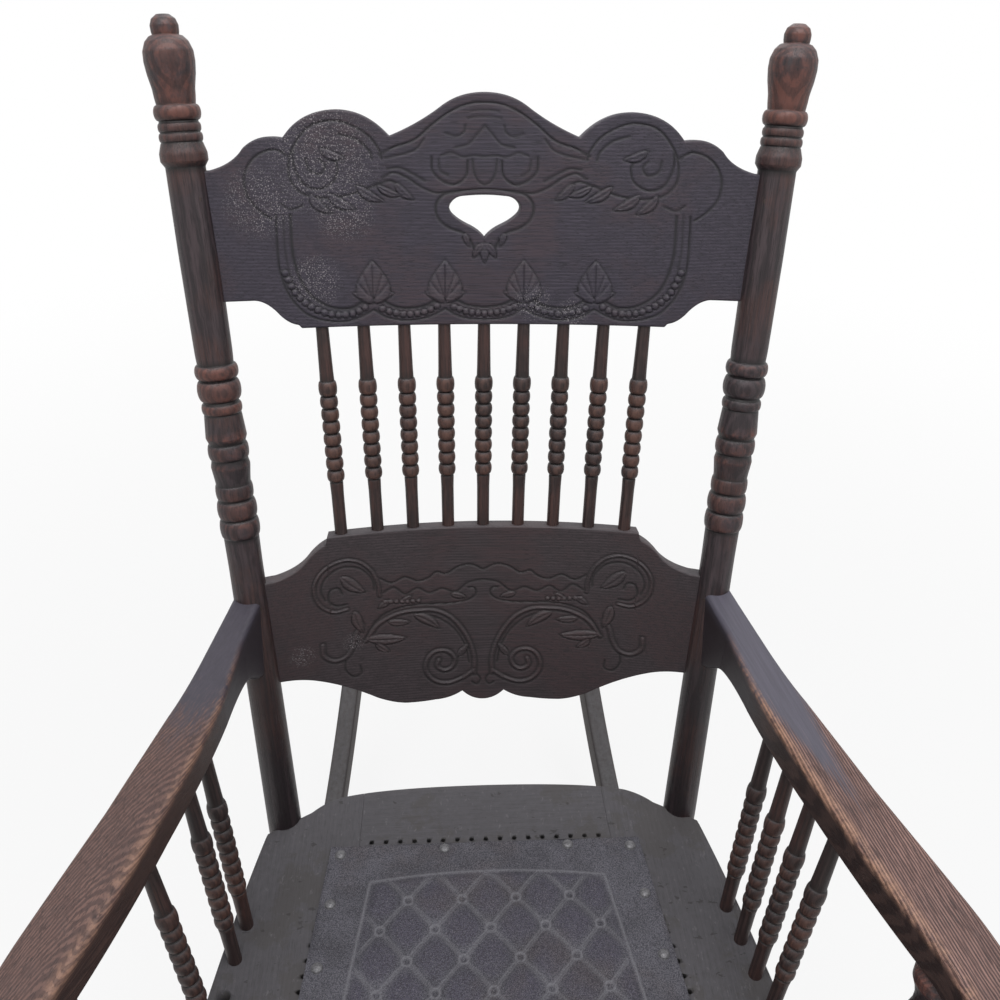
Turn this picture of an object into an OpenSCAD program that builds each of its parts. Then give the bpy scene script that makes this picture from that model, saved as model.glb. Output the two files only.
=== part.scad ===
// Armed rocking chair of turned and pressed oak, with a nailed leather seat.
// Millimetres, +Z up, +Y towards the back. Left (-X) and right (+X) are as seen from the front.
// The origin lies on the floor, midway between the tips of the runners.

/* [Seat] */
// Height of the seat's top at the back posts
seat_z = 405; // [380:1:430]
// Backward fall of the seat
seat_fall = 2.2; // [0:0.1:5]
// Half of the seat's greatest width
seat_half = 251; // [235:1:265]
// Depth of the seat from its back edge to its front edge
seat_depth = 446; // [425:1:465]
// How far the seat reaches behind the posts' axes
seat_behind = 33; // [28:1:38]
// Thickness of the seat boards
seat_t = 22; // [18:1:28]
// Width of the rear seat board, back edge to opening
seat_rear_w = 76; // [66:1:84]
// Width of the front seat board
seat_front_w = 78; // [66:1:88]
// Half width of the seat opening at its back edge
opening_half = 128; // [116:1:134]
// Half length of the rear board, joint to middle
rear_joint_half = 118; // [105:1:122]
// Diameter of the old cane holes
cane_d = 4.2; // [3:0.1:5]
// Distance between cane holes
cane_pitch = 13.4; // [11:0.1:20]
// Distance from the opening's edge to the cane holes
cane_inset = 10; // [8:0.5:11]

/* [Leather] */
// Half width of the leather at its back edge
leather_half = 144; // [138:1:150]
// Depth of the leather, back to front
leather_depth = 318; // [300:1:330]
// Gap between the seat's back edge and the leather
leather_set = 71; // [66:1:76]
// Width of the plain border round the quilting
border_w = 34; // [28:1:38]
// Thickness of the leather at its border
leather_t = 2.6; // [2:0.1:4]
// Height of the pressed quilting above the border
quilt_h = 3.4; // [1:0.1:6]
// Distance between the rosettes across the seat
tuft_w = 47.7; // [40:0.1:60]
// Distance between the rosettes from front to back
tuft_l = 56.8; // [45:0.1:70]
// Distance from the leather's back edge to the first rosette on the middle line
tuft_first = 88.6; // [70:0.2:110]
// Diameter of the dome nails' heads
nail_d = 10.5; // [8:0.1:13]
// Diameter of the dome nails' shanks
nail_shank_d = 2.2; // [1.6:0.1:3]
// Length of the dome nails below their heads
nail_len = 15; // [10:0.5:18]

/* [Back posts] */
// Half of the distance between the posts' axes at the seat
post_half = 192.5; // [184:0.5:200]
// Outward lean of the posts
post_lean = 3.05; // [2:0.05:4]
// Backward lean of the whole back
back_rake = 14.6; // [10:0.1:18]
// Length of a post above the seat
post_len = 695; // [670:1:720]
// Diameter of a post's shaft at the seat
post_d = 31; // [29:0.5:34]
// Depth of the elbow below the seat's top
elbow_drop = 12; // [10:0.5:14]
// How far the rear foot stands behind the post
rear_foot_back = 45; // [20:1:60]

/* [Crest rail] */
// Height of the crest rail's lower edge along the posts
crest_s = 468; // [455:1:480]
// Height of the crest rail, lower edge to middle of the top
crest_h = 178; // [165:1:190]
// Backward bow of the crest rail
crest_bow = 35; // [20:0.5:45]
// Thickness of both pressed boards
board_t = 15; // [13:0.5:18]
// How far the boards' ends enter the posts
board_in = 10; // [6:0.5:11]
// Half width of the hand hold
hold_half = 28.2; // [22:0.2:34]
// Height of the hand hold
hold_h = 32.5; // [26:0.5:38]
// Height of the hand hold's point above the crest rail's lower edge
hold_s = 70; // [60:1:80]

/* [Lower slat] */
// Height of the slat's lowest edge along the posts
slat_s = 101.5; // [92:0.5:110]
// Height of the slat
slat_h = 181.5; // [170:0.5:190]
// Backward bow of the slat
slat_bow = 45.5; // [30:0.5:55]

/* [Back spindles] */
// Distance between the spindles at the crest rail
spindle_top_pitch = 33.2; // [30:0.1:36]
// Distance between the spindles at the slat
spindle_low_pitch = 31.7; // [28:0.1:34]
// Diameter of a spindle's plain shaft
spindle_d = 11; // [9:0.1:12]
// Diameter of a spindle's beads as a share of its shaft
spindle_bead_share = 1.38; // [1.2:0.01:1.5]
// How far the spindles enter the boards
spindle_in = 11; // [8:0.5:14]

/* [Arms] */
// Height of the arms' top faces
arm_z = 636; // [610:1:660]
// Thickness of an arm
arm_t = 30; // [26:0.5:36]
// Length of an arm, post to nose
arm_len = 441; // [420:1:460]
// Half of the distance between the arms at the posts
arm_half = 194; // [188:0.5:200]
// Outward sweep of an arm, inner back corner to widest place
arm_flare = 117; // [105:1:128]
// Depth of an arm where it meets the post
arm_root_h = 70; // [55:1:80]

/* [Arm spindles and arm posts] */
// Distance between the arm spindles along the seat
arm_spindle_pitch = 31.6; // [29:0.1:34]
// Distance from the post to the first arm spindle
arm_spindle_first = 113.5; // [105:0.5:125]
// Distance from the seat's side edge to the arm spindles
arm_spindle_edge = 20.5; // [17:0.5:24]
// Backward lean of the arm spindles and of the posts under the arms
arm_spindle_rake = 10.7; // [6:0.1:14]
// Diameter of an arm spindle's lower end
arm_spindle_d = 11.5; // [10:0.1:13]
// How far the arm spindles enter the seat and the arms
arm_spindle_in = 14; // [10:0.5:16]
// Diameter of the turned post at the front of each arm
arm_post_d = 34; // [28:0.5:38]
// Diameter of its ends in the seat and the arm
arm_post_end_d = 17; // [14:0.5:20]
// Distance from the back post to the arm post along the seat
arm_post_e = 319; // [306:1:330]
// Half of the distance between the arm posts at the seat
arm_post_half = 229; // [222:0.5:234]

/* [Legs and stretchers] */
// Diameter of the front legs
leg_d = 38; // [34:0.5:42]
// Half of the distance between the front legs at the seat
leg_half = 214; // [205:0.5:220]
// Distance from the back post to the front leg along the seat
leg_e = 338; // [325:1:350]
// How far the front foot stands ahead of the leg's top
leg_foot_ahead = 22; // [10:1:35]
// Diameter of the legs' ends in the seat and the runners
leg_end_d = 16; // [14:0.5:17.5]
// How far the legs enter the seat
leg_in = 15; // [12:0.5:17]
// Diameter of the stretchers
stretcher_d = 25; // [20:0.5:28]
// Diameter of the stretchers' ends
stretcher_end_d = 12; // [10:0.5:14]
// How far the stretchers enter the legs
stretcher_in = 13; // [10:0.5:14]
// Heights of the lower side stretchers
side_low_z = 148; // [140:1:156]
// Heights of the upper side stretchers
side_high_z = 232; // [224:1:240]
// Height of the lower front stretcher
front_low_z = 190; // [182:1:198]
// Height of the upper front stretcher
front_high_z = 282; // [274:1:292]
// Height of the rear stretcher
rear_z = 190; // [182:1:198]

/* [Runners] */
// Radius of the runners' lower edge
runner_r = 860; // [820:5:960]
// Depth of a runner
runner_h = 38; // [34:0.5:44]
// Width of a runner
runner_w = 24; // [23:0.5:28]
// Half of the distance between the runners at their lowest points
runner_half = 230.5; // [222:0.5:240]
// Angle by which the runners draw together towards the back
runner_toe = 7.3; // [5:0.1:9]
// Arc of a runner behind its lowest point
runner_rear_arc = 35; // [31:0.5:38]
// Arc of a runner ahead of its lowest point
runner_front_arc = 27; // [24:0.5:30]
// Distance from the runners' lowest points back to the posts
post_behind_low = 85; // [60:1:120]
// How far the legs enter the runners
runner_in = 20; // [16:0.5:24]

/* [Fasteners] */
// Diameter of the wood screws
screw_d = 4.5; // [3.5:0.1:5.5]
// Length of the wood screws
screw_len = 52; // [46:1:60]
// Diameter of the screw heads
screw_head_d = 9; // [8:0.1:11]
// Diameter of the wooden pins
pin_d = 3.4; // [2.5:0.1:4]
// Length of the wooden pins
pin_len = 24; // [18:0.5:25]
// Diameter of the dowels in the seat joints
dowel_d = 9; // [7:0.5:11]
// Length of the dowels in the seat joints
dowel_len = 44; // [36:1:50]

/* [Fits] */
// Glue line round every turned end in its socket
fit = 0.12; // [0.08:0.01:0.2]
// Clearance under the leather
lift = 0.3; // [0.2:0.05:0.5]

/* [Hidden] */
// Number of back spindles
spindle_n = 9;

$fn = 64;
// Number of sides of the large arcs
arc_fn = 360;
// Steps in each round of a turned bead and in each curved stretch of an outline
bead_steps = 5;
curve_steps = 6;
// Overrun of every cut
over = 1;
// Points closer than this are one point
same = 0.01;

oak = [0.20, 0.14, 0.12];
oak_worn = [0.34, 0.21, 0.14];
leather = [0.22, 0.20, 0.22];
metal = [0.55, 0.55, 0.55];

// Reach of the runners' rounded ends from their lowest points, measured along Y
function reach(arc) = cos(runner_toe) * ((runner_r - runner_h / 2) * sin(arc) + runner_h / 2)
  + sin(runner_toe) * runner_w / 2;
low_y = (reach(runner_front_arc) - reach(runner_rear_arc)) / 2;
post_y = low_y + post_behind_low;

// Points on a quadratic curve from a to c, drawn towards b, without its first point
function bend(a, b, c) = [for (i = [1:curve_steps]) let (t = i / curve_steps)
  (1 - t) * (1 - t) * a + 2 * t * (1 - t) * b + t * t * c];
// A path from a start point through stretches, each [towards, end] or [end]
function path(p, runs, i = 0) = i == len(runs) ? [p] : concat([p],
  len(runs[i]) == 1 ? [] : [for (q = bend(p, runs[i][0], runs[i][1])) if (norm(q - runs[i][1]) > same) q],
  path(runs[i][len(runs[i]) - 1], runs, i + 1));
// Shares of two sizes turned into places
function scaled(table, w, h) = [for (run = table) [for (p = run) [p[0] * w, p[1] * h]]];
// Points without repeats
function clean(p) = [for (i = [0:len(p) - 1]) if (i == 0 || norm(p[i] - p[i - 1]) > same) p[i]];
// The mirror image of a half outline, in reverse order
function other_half(p) = [for (i = [len(p) - 1:-1:0]) if (p[i][0] > same) [-p[i][0], p[i][1]]];
// A round bead from a to b: edge diameter d0, greatest diameter d1
function bead(a, b, d0, d1) = [for (i = [0:bead_steps]) let (t = 2 * i / bead_steps - 1)
  [(d0 + (d1 - d0) * sqrt(1 - t * t)) / 2, a + (b - a) * i / bead_steps]];
// A turned outline from rows of [from, to, edge diameter, greatest diameter], all shares
function turning(rows, l, d) = clean([for (r = rows) each r[0] == r[1]
  ? [[r[2] * d / 2, r[0] * l]] : bead(r[0] * l, r[1] * l, r[2] * d, r[3] * d)]);
// A place between two points, by share
function mix(a, b, t) = a + (b - a) * t;
// The place on the line through a and b at height z
function at_height(a, b, z) = mix(a, b, (z - a[2]) / (b[2] - a[2]));

// Turned solid round the Z axis with plain ends: d0 below from -n0, d1 above to l + n1
module turned(rows, l, d, d0, n0, d1, n1) {
  body = turning(rows, l, d);
  rotate_extrude()
    polygon(clean(concat([[0, -n0], [d0 / 2, -n0], [d0 / 2, 0]], body,
      [[d1 / 2, l], [d1 / 2, l + n1], [0, l + n1]])));
}
// Local Z axis laid from a towards b
module along(a, b) {
  v = b - a;
  translate(a) rotate([0, acos(v[2] / norm(v)), atan2(v[1], v[0])]) children();
}
// Frame of the seat: X across, Y back, Z up from the seat's top
module on_seat() { translate([0, post_y, seat_z]) rotate([-seat_fall, 0, 0]) children(); }
function seat_point(x, e, h) = [x, post_y + e * cos(seat_fall) + h * sin(seat_fall),
  seat_z - e * sin(seat_fall) + h * cos(seat_fall)];
// Frame of the raked back: X across, Y square to the back, Z up along it
module on_back() { translate([0, post_y, seat_z]) rotate([-back_rake, 0, 0]) children(); }
function back_point(x, n, s) = [x, post_y + n * cos(back_rake) + s * sin(back_rake),
  seat_z - n * sin(back_rake) + s * cos(back_rake)];
function flip(p) = [-p[0], p[1], p[2]];
module right_or_left(right) { if (right) children(); else mirror([1, 0, 0]) children(); }
module both_sides() { for (right = [false, true]) right_or_left(right) children(); }
// Sum of shares times rising powers of t
function power_sum(shares, t) = shares * [for (i = [0:len(shares) - 1]) pow(t, i)];

// Back posts
// Half distance between the posts at height s along the back
function post_x(s) = post_half + s * tan(post_lean);
post_up = post_len * cos(post_lean);
// Turning of the post above the elbow: shares of its length and of its diameter
post_rows_shares = [
  [0, 0, 1.01, 1.01], [0.385, 0.385, 0.93, 0.93], [0.424, 0.447, 0.95, 1.07],
  [0.448, 0.472, 0.90, 1.06], [0.474, 0.492, 0.92, 1.0], [0.497, 0.497, 0.93, 0.93],
  [0.515, 0.515, 1.03, 1.03], [0.521, 0.521, 0.97, 0.97], [0.524, 0.543, 0.95, 1.07],
  [0.545, 0.545, 0.97, 0.97], [0.551, 0.551, 1.07, 1.07], [0.578, 0.578, 0.97, 0.97],
  [0.580, 0.592, 0.94, 1.04], [0.595, 0.620, 0.90, 1.12], [0.621, 0.638, 0.92, 1.11],
  [0.650, 0.650, 0.95, 0.95], [0.760, 0.760, 0.97, 0.97], [0.852, 0.852, 0.94, 0.94],
  [0.858, 0.858, 1.12, 1.12], [0.866, 0.866, 1.12, 1.12], [0.876, 0.876, 0.98, 0.98],
  [0.877, 0.886, 0.94, 1.02], [0.887, 0.896, 0.92, 1.0], [0.898, 0.914, 0.90, 1.09],
  [0.919, 0.919, 0.94, 0.94], [0.930, 0.930, 0.98, 0.98], [0.943, 0.943, 1.10, 1.10],
  [0.955, 0.955, 1.16, 1.16], [0.965, 0.965, 1.14, 1.14], [0.974, 0.974, 0.98, 0.98],
  [0.979, 0.979, 0.76, 0.76], [0.980, 0.980, 0.60, 0.60], [0.983, 0.983, 0.63, 0.63],
  [0.989, 0.989, 0.64, 0.64], [0.995, 0.995, 0.54, 0.54], [0.999, 0.999, 0.30, 0.30]];
// Turning of the rear leg, from the foot up to the elbow
rear_leg_shares = [
  [0.04, 0.04, 0.66, 0.66], [0.10, 0.10, 0.90, 0.90], [0.12, 0.16, 0.88, 1.12],
  [0.18, 0.18, 0.95, 0.95], [0.30, 0.30, 1.12, 1.12], [0.66, 0.66, 1.14, 1.14],
  [0.70, 0.74, 0.98, 1.16], [0.75, 0.79, 0.98, 1.16], [0.82, 0.82, 0.98, 0.98], [1, 1, 1.01, 1.01]];
// The bent elbow swells a little past the shaft
elbow_share = 1.04;
shaft_d = post_rows_shares[0][2] * post_d;
elbow_d = elbow_share * shaft_d;
elbow = back_point(post_half - elbow_drop * tan(post_lean), 0, -elbow_drop);
finial = back_point(post_x(post_up), 0, post_up);
rear_foot_y = post_y + rear_foot_back;

// Half distance between the runners at a place along Y
function runner_x(y) = runner_half - (y - low_y) * tan(runner_toe);
function runner_top(y) = runner_r - sqrt(pow(runner_r - runner_h, 2)
  - pow((y - low_y) / cos(runner_toe), 2));
rear_foot = [runner_x(rear_foot_y), rear_foot_y, runner_top(rear_foot_y)];

module back_post(right) {
  color(oak) right_or_left(right) difference() {
    union() {
      // The upper turning starts at the elbow
      along(elbow, finial) rotate_extrude()
        polygon(concat([[0, 0], [shaft_d / 2, 0]],
          [for (p = turning(post_rows_shares, post_len, post_d)) [p[0], p[1] + elbow_drop]],
          [[0, post_len + elbow_drop]]));
      translate(elbow) sphere(d = elbow_d);
      along(rear_foot, elbow)
        turned(rear_leg_shares, norm(elbow - rear_foot), post_d, leg_end_d, runner_in,
          shaft_d, 0);
    }
    board_end(crest_bow, crest_mid, crest_end_low, crest_end_high);
    board_end(slat_bow, slat_mid, slat_end_low, slat_end_high);
    arm_screw_at() screw_hole();
    seat_screw_at() screw_hole();
    for (p = board_pin_places) board_pin_at(p) pin_hole();
    stretcher_socket(side_low_rear, side_low_front);
    stretcher_socket(side_high_rear, side_high_front);
    stretcher_socket(rear_right, flip(rear_right));
    runner_pin_at(rear_foot) pin_hole();
  }
}

// Pressed boards of the back
function bow_r(bow, half) = (half * half + bow * bow) / (2 * bow);
// Bow of a board's middle surface at x
function bow_at(bow, half, x) = sqrt(pow(bow_r(bow, half), 2) - x * x) - bow_r(bow, half) + bow;
crest_mid = post_x(crest_s + crest_h / 2);
slat_mid = post_x(slat_s + slat_h / 2);
// A board bent to its bow: h is its height, extra thickens it on both faces
module bowed(bow, half, h, extra) {
  r = bow_r(bow, half);
  translate([0, bow - r, 0]) linear_extrude(h) difference() {
    circle(r + board_t / 2 + extra, $fn = arc_fn);
    circle(r - board_t / 2 - extra, $fn = arc_fn);
    translate([-2 * r, -2 * r - half]) square([4 * r, 2 * r + half]);
  }
}
// An outline in the plane of the back, made solid through the bow
module through_back() {
  rotate([90, 0, 0]) translate([0, 0, -post_half]) linear_extrude(2 * post_half) children();
}
// The end of a board inside its post, a glue line larger all round
module board_end(bow, half, s0, s1) {
  on_back() intersection() {
    translate([0, 0, s0 - fit]) bowed(bow, half, s1 - s0 + 2 * fit, fit);
    through_back() polygon([
      [post_x(s0) - post_d, s0 - over], [board_x(s0) + fit, s0 - over],
      [board_x(s1) + fit, s1 + over], [post_x(s1) - post_d, s1 + over]]);
  }
}
function board_x(s) = post_x(s) - post_d / 2 + board_in;
// Where a board's edges meet the posts, as shares of its height
crest_end_shares = [0.132, 0.677];
slat_end_shares = [0.256, 0.812];
crest_end_low = crest_s + crest_end_shares[0] * crest_h;
crest_end_high = crest_s + crest_end_shares[1] * crest_h;
slat_end_low = slat_s + slat_end_shares[0] * slat_h;
slat_end_high = slat_s + slat_end_shares[1] * slat_h;
// Upper edge of the crest rail from the middle outwards: shares of half width and height
crest_top_shares = [
  [[0.095, 1.0], [0.163, 0.941]], [[0.25, 0.868], [0.356, 0.820]],
  [[0.44, 0.925], [0.543, 0.924]], [[0.67, 0.92], [0.736, 0.809]],
  [[0.817, 0.83], [0.875, 0.767]], [[0.913, 0.70], [1.0, 0.677]]];
// Lower edge of the crest rail from the end inwards
crest_low_shares = [
  [[0.875, 0.131]], [[0.835, 0.128], [0.795, 0.075]], [[0.76, 0.022], [0.719, 0.015]],
  [[0.709, 0]], [[0, 0]]];
slat_top_shares = [
  [[0.749, 1.0]], [[0.755, 0.965]], [[0.80, 0.945], [0.838, 0.902]], [[0.89, 0.83], [1.0, 0.812]]];
slat_low_shares = [
  [[0.91, 0.25], [0.835, 0.219]], [[0.70, 0.165], [0.543, 0.058]], [[0.46, 0.012], [0.394, 0.005]],
  [[0.32, 0], [0.245, 0.009]], [[0.17, 0.01], [0.108, 0.054]], [[0.06, 0], [0, 0]]];
// Half outline of a board: top and low are tables of shares, s0 and s1 are where its ends meet the posts
function board_half(half, h, s, top, low, s0, s1) = concat(
  path([0, h + s], [for (r = scaled(top, half, h)) [for (p = r) [p[0], p[1] + s]]]),
  [[board_x(s1), s1], [board_x(s0), s0]],
  path([half, s0], [for (r = scaled(low, half, h)) [for (p = r) [p[0], p[1] + s]]]));
crest_half = post_x(crest_end_high) - post_d / 2;
slat_half = post_x(slat_end_low) - post_d / 2;
// Outline of the hand hold: shares of its half width and height, from its point upwards
hold_shares = [
  [[0.14, 0.16], [0.42, 0.28]], [[0.78, 0.42], [0.94, 0.58]], [[1.06, 0.72], [0.92, 0.84]],
  [[0.80, 0.97], [0.55, 0.975]], [[0.28, 1.0], [0, 1.0]]];

module crest_rail() {
  half = board_half(crest_half, crest_h, crest_s, crest_top_shares, crest_low_shares,
    crest_end_low, crest_end_high);
  hole = path([0, 0], scaled(hold_shares, hold_half, hold_h));
  color(oak) difference() {
    on_back() intersection() {
      translate([0, 0, crest_s]) bowed(crest_bow, crest_mid, crest_h, 0);
      through_back() polygon(clean(concat(half, other_half(half))));
    }
    on_back() through_back() translate([0, crest_s + hold_s])
      polygon(clean(concat(hole, other_half(hole))));
    for (k = [1:spindle_n]) spindle_socket(k, true);
    both_sides() for (p = board_pin_places) board_pin_at(p) pin_hole();
  }
}
module lower_back_slat() {
  half = board_half(slat_half, slat_h, slat_s, slat_top_shares, slat_low_shares,
    slat_end_low, slat_end_high);
  color(oak) difference() {
    on_back() intersection() {
      translate([0, 0, slat_s]) bowed(slat_bow, slat_mid, slat_h, 0);
      through_back() polygon(clean(concat(half, other_half(half))));
    }
    for (k = [1:spindle_n]) spindle_socket(k, false);
    both_sides() for (p = board_pin_places) board_pin_at(p) pin_hole();
  }
}

// Back spindles
function spindle_low(k) = let (x = (k - (spindle_n + 1) / 2) * spindle_low_pitch)
  back_point(x, bow_at(slat_bow, slat_mid, x), slat_s + slat_h);
function spindle_high(k) = let (x = (k - (spindle_n + 1) / 2) * spindle_top_pitch)
  back_point(x, bow_at(crest_bow, crest_mid, x), crest_s);
spindle_top_share = 0.95;
spindle_shares = [
  [0.02, 0.02, 1, 1], [0.20, 0.20, 1.0, 1.0], [0.26, 0.26, 1.06, 1.06],
  for (i = [0:6]) [0.268 + i * 0.0595, 0.3265 + i * 0.0595, spindle_bead_share * 0.80, spindle_bead_share],
  [0.685, 0.752, spindle_bead_share * 0.80, spindle_bead_share * 1.03], [0.785, 0.785, 1.06, 1.06],
  [0.98, 0.98, spindle_top_share, spindle_top_share]];
module back_spindle(k) {
  a = spindle_low(k);
  b = spindle_high(k);
  color(oak_worn) along(a, b)
    turned(spindle_shares, norm(b - a), spindle_d, spindle_d, spindle_in,
      spindle_top_share * spindle_d, spindle_in);
}
// Socket of spindle k in the crest rail or the slat
module spindle_socket(k, top) {
  a = spindle_low(k);
  b = spindle_high(k);
  if (top) along(b, a) translate([0, 0, -spindle_in - fit])
    cylinder(h = spindle_in + fit + 2 * over, d = spindle_top_share * spindle_d + 2 * fit);
  else along(a, b) translate([0, 0, -spindle_in - fit])
    cylinder(h = spindle_in + fit + 2 * over, d = spindle_d + 2 * fit);
}

// Arms
// The arm's back end stands off the post's front by the glue line
arm_back = (arm_z - arm_t / 2 - seat_z) * tan(back_rake);
arm_front_y = post_y + arm_back - arm_len;
// Inner edge of an arm from the post to the nose, then the outer edge back: shares of length and sweep
arm_shares = [
  [[0.065, 0.031], [0.13, 0.0745]], [[0.19, 0.088], [0.273, 0.1146]], [[0.38, 0.172], [0.515, 0.3075]],
  [[0.65, 0.4285], [0.77, 0.584]], [[0.815, 0.642], [0.865, 0.625]], [[0.93, 0.60], [0.965, 0.592]],
  [[1.0, 0.60], [1.0, 0.79]], [[1.0, 0.99], [0.915, 1.0]], [[0.80, 1.0], [0.70, 0.885]],
  [[0.59, 0.7585], [0.50, 0.651]], [[0.40, 0.55], [0.306, 0.452]], [[0.25, 0.385], [0.17, 0.33]],
  [[0.11, 0.29], [0.05, 0.245]], [[-0.01, 0.205], [-0.05, 0.175]], [[-0.10, 0.168]], [[-0.10, 0]]];
// Underside of an arm's deep root: shares of length and of depth below the arm
root_shares = [[[0.06, 1.0], [0.10, 0.62]], [[0.15, 0.10], [0.27, 0]]];
// The arm's middle line: shares of its sweep for each power of the way along it
arm_mid_shares = [0.159, 0.009, 1.665, -0.849];
function arm_mid(y) = arm_half + arm_flare * power_sum(arm_mid_shares, (post_y + arm_back - y) / arm_len);
module arm(right) {
  drop = arm_root_h - arm_t;
  y0 = post_y + arm_back;
  color(oak_worn) right_or_left(right) difference() {
    intersection() {
      translate([0, 0, arm_z - arm_root_h - over]) linear_extrude(arm_root_h + over)
        polygon([for (p = path([0, 0], scaled(arm_shares, arm_len, arm_flare)))
          [arm_half + p[1], y0 - p[0]]]);
      rotate([90, 0, 90]) linear_extrude(2 * (arm_half + arm_flare))
        polygon(concat(
          [[y0 + arm_len, arm_z], [y0 - arm_len - over, arm_z], [y0 - arm_len - over, arm_z - arm_t]],
          [for (p = other_way(path([0, arm_root_h - arm_t], scaled(root_shares, arm_len, drop))))
            [y0 - p[0], arm_z - arm_t - p[1]]],
          [[y0 + arm_len, arm_z - arm_root_h]]));
    }
    // The back end is hollowed to the post
    along(elbow, finial) cylinder(h = post_len, d = arm_seat_d + 2 * fit);
    // Nothing of the arm stays behind the post's axis
    on_back() cube([2 * (arm_half + arm_flare), arm_len, post_len]);
    for (k = [1:4])
      arm_socket(arm_spindle_low(k), arm_spindle_high(k), arm_spindle_end_share * arm_spindle_d);
    arm_socket(arm_post_low, arm_post_high, arm_post_end_d);
    arm_screw_at() screw_hole();
  }
}
// Socket in an arm for the turned end of diameter d that rises from a to b
module arm_socket(a, b, d) {
  along(b, a) translate([0, 0, -arm_spindle_in - fit]) cylinder(h = 2 * arm_spindle_in, d = d + 2 * fit);
}
function other_way(p) = [for (i = [len(p) - 1:-1:0]) p[i]];
// Diameter of the post where the arm meets it
arm_seat_share = 0.985;
arm_seat_d = arm_seat_share * post_d;

// Arm spindles: row 1 is nearest the back
arm_spindle_end_share = 0.95;
// Half width of the seat at a distance ahead of the posts, by powers of the way along its depth
seat_side_shares = [0.835, 0.38, -0.21];
function seat_side(e) = seat_half * power_sum(seat_side_shares, e / seat_depth);
function arm_spindle_low(k) = let (e = arm_spindle_first + (k - 1) * arm_spindle_pitch)
  seat_point(seat_side(e) - arm_spindle_edge, -e, 0);
// The upper end lies in the arm's underside
arm_rise = arm_z - arm_t - seat_z;
function arm_spindle_high(k) = let (y = arm_spindle_low(k)[1] + arm_rise * tan(arm_spindle_rake))
  [arm_mid(y), y, arm_z - arm_t];
function arm_spindle_run(k) = norm(arm_spindle_high(k) - arm_spindle_low(k));
arm_bead_share = 1.36;
arm_spindle_shares = [
  [0.02, 0.02, 1, 1], [0.17, 0.17, 1.04, 1.04], [0.195, 0.195, 1.12, 1.12],
  for (i = [0:6]) [0.203 + i * 0.0575, 0.2595 + i * 0.0575, arm_bead_share * 0.84, arm_bead_share],
  [0.606, 0.680, arm_bead_share * 0.84, arm_bead_share * 1.05], [0.715, 0.715, 1.10, 1.10],
  [0.96, 0.96, arm_spindle_end_share, arm_spindle_end_share]];
module arm_spindle(k, right) {
  color(oak_worn) right_or_left(right) along(arm_spindle_low(k), arm_spindle_high(k))
    turned(arm_spindle_shares, arm_spindle_run(k), arm_spindle_d, arm_spindle_d, arm_spindle_in,
      arm_spindle_end_share * arm_spindle_d, arm_spindle_in);
}

// Turned posts under the arms' front ends
arm_post_low = seat_point(arm_post_half, -arm_post_e, 0);
arm_post_high = let (y = arm_post_low[1] + arm_rise * tan(arm_spindle_rake))
  [arm_mid(y), y, arm_z - arm_t];
arm_post_end_share = arm_post_end_d / arm_post_d;
arm_post_shares = [
  [0.025, 0.025, arm_post_end_share, arm_post_end_share], [0.05, 0.11, 0.70, 0.92],
  [0.13, 0.13, 0.66, 0.66],
  [0.19, 0.19, 0.80, 0.80], [0.30, 0.30, 0.97, 0.97], [0.38, 0.38, 1.0, 1.0],
  [0.45, 0.45, 0.90, 0.90], [0.47, 0.53, 0.84, 1.0], [0.54, 0.60, 0.84, 1.0],
  [0.62, 0.62, 0.74, 0.74], [0.68, 0.68, 0.80, 0.80], [0.72, 0.72, 0.82, 0.82],
  [0.78, 0.78, 0.62, 0.62], [0.82, 0.82, 0.55, 0.55], [0.85, 0.85, 0.60, 0.60],
  [0.88, 0.88, 0.76, 0.76], [0.91, 0.91, 1.0, 1.0], [0.94, 0.94, 1.06, 1.06],
  [0.965, 0.965, 0.94, 0.94], [0.975, 0.975, arm_post_end_share, arm_post_end_share]];
module arm_post(right) {
  color(oak) right_or_left(right) along(arm_post_low, arm_post_high)
    turned(arm_post_shares, norm(arm_post_high - arm_post_low), arm_post_d, arm_post_end_d,
      arm_spindle_in, arm_post_end_d, arm_spindle_in);
}

// Seat boards
// Half outline of the seat from the middle of the back edge: shares of half width and depth
seat_shares = [
  [[0.40, 0], [0.56, 0.024]], [[0.62, 0.036], [0.665, 0.062]], [[0.822, 0.115]],
  [[0.89, 0.30], [0.943, 0.56]], [[0.985, 0.70], [1.0, 0.82]], [[1.005, 0.93], [0.90, 0.972]],
  [[0.75, 0.995], [0, 1.0]]];
seat_outline = let (p = path([0, 0], scaled(seat_shares, seat_half, seat_depth)))
  [for (q = p) [q[0], seat_behind - q[1]]];
// The opening widens to the front as the seat does
opening_back = seat_behind - seat_rear_w;
opening_front = seat_behind - seat_depth + seat_front_w;
opening_flare_share = 0.155;
opening_front_half = opening_half + (opening_back - opening_front) * opening_flare_share;
corner_r = 24;
module opening() {
  hull() for (s = [-1, 1]) {
    translate([s * (opening_half - corner_r), opening_back - corner_r]) circle(corner_r);
    translate([s * (opening_front_half - corner_r), opening_front + corner_r]) circle(corner_r);
  }
}
module seat_plan() {
  difference() {
    polygon(clean(concat(seat_outline, other_half(seat_outline))));
    opening();
  }
}
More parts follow.
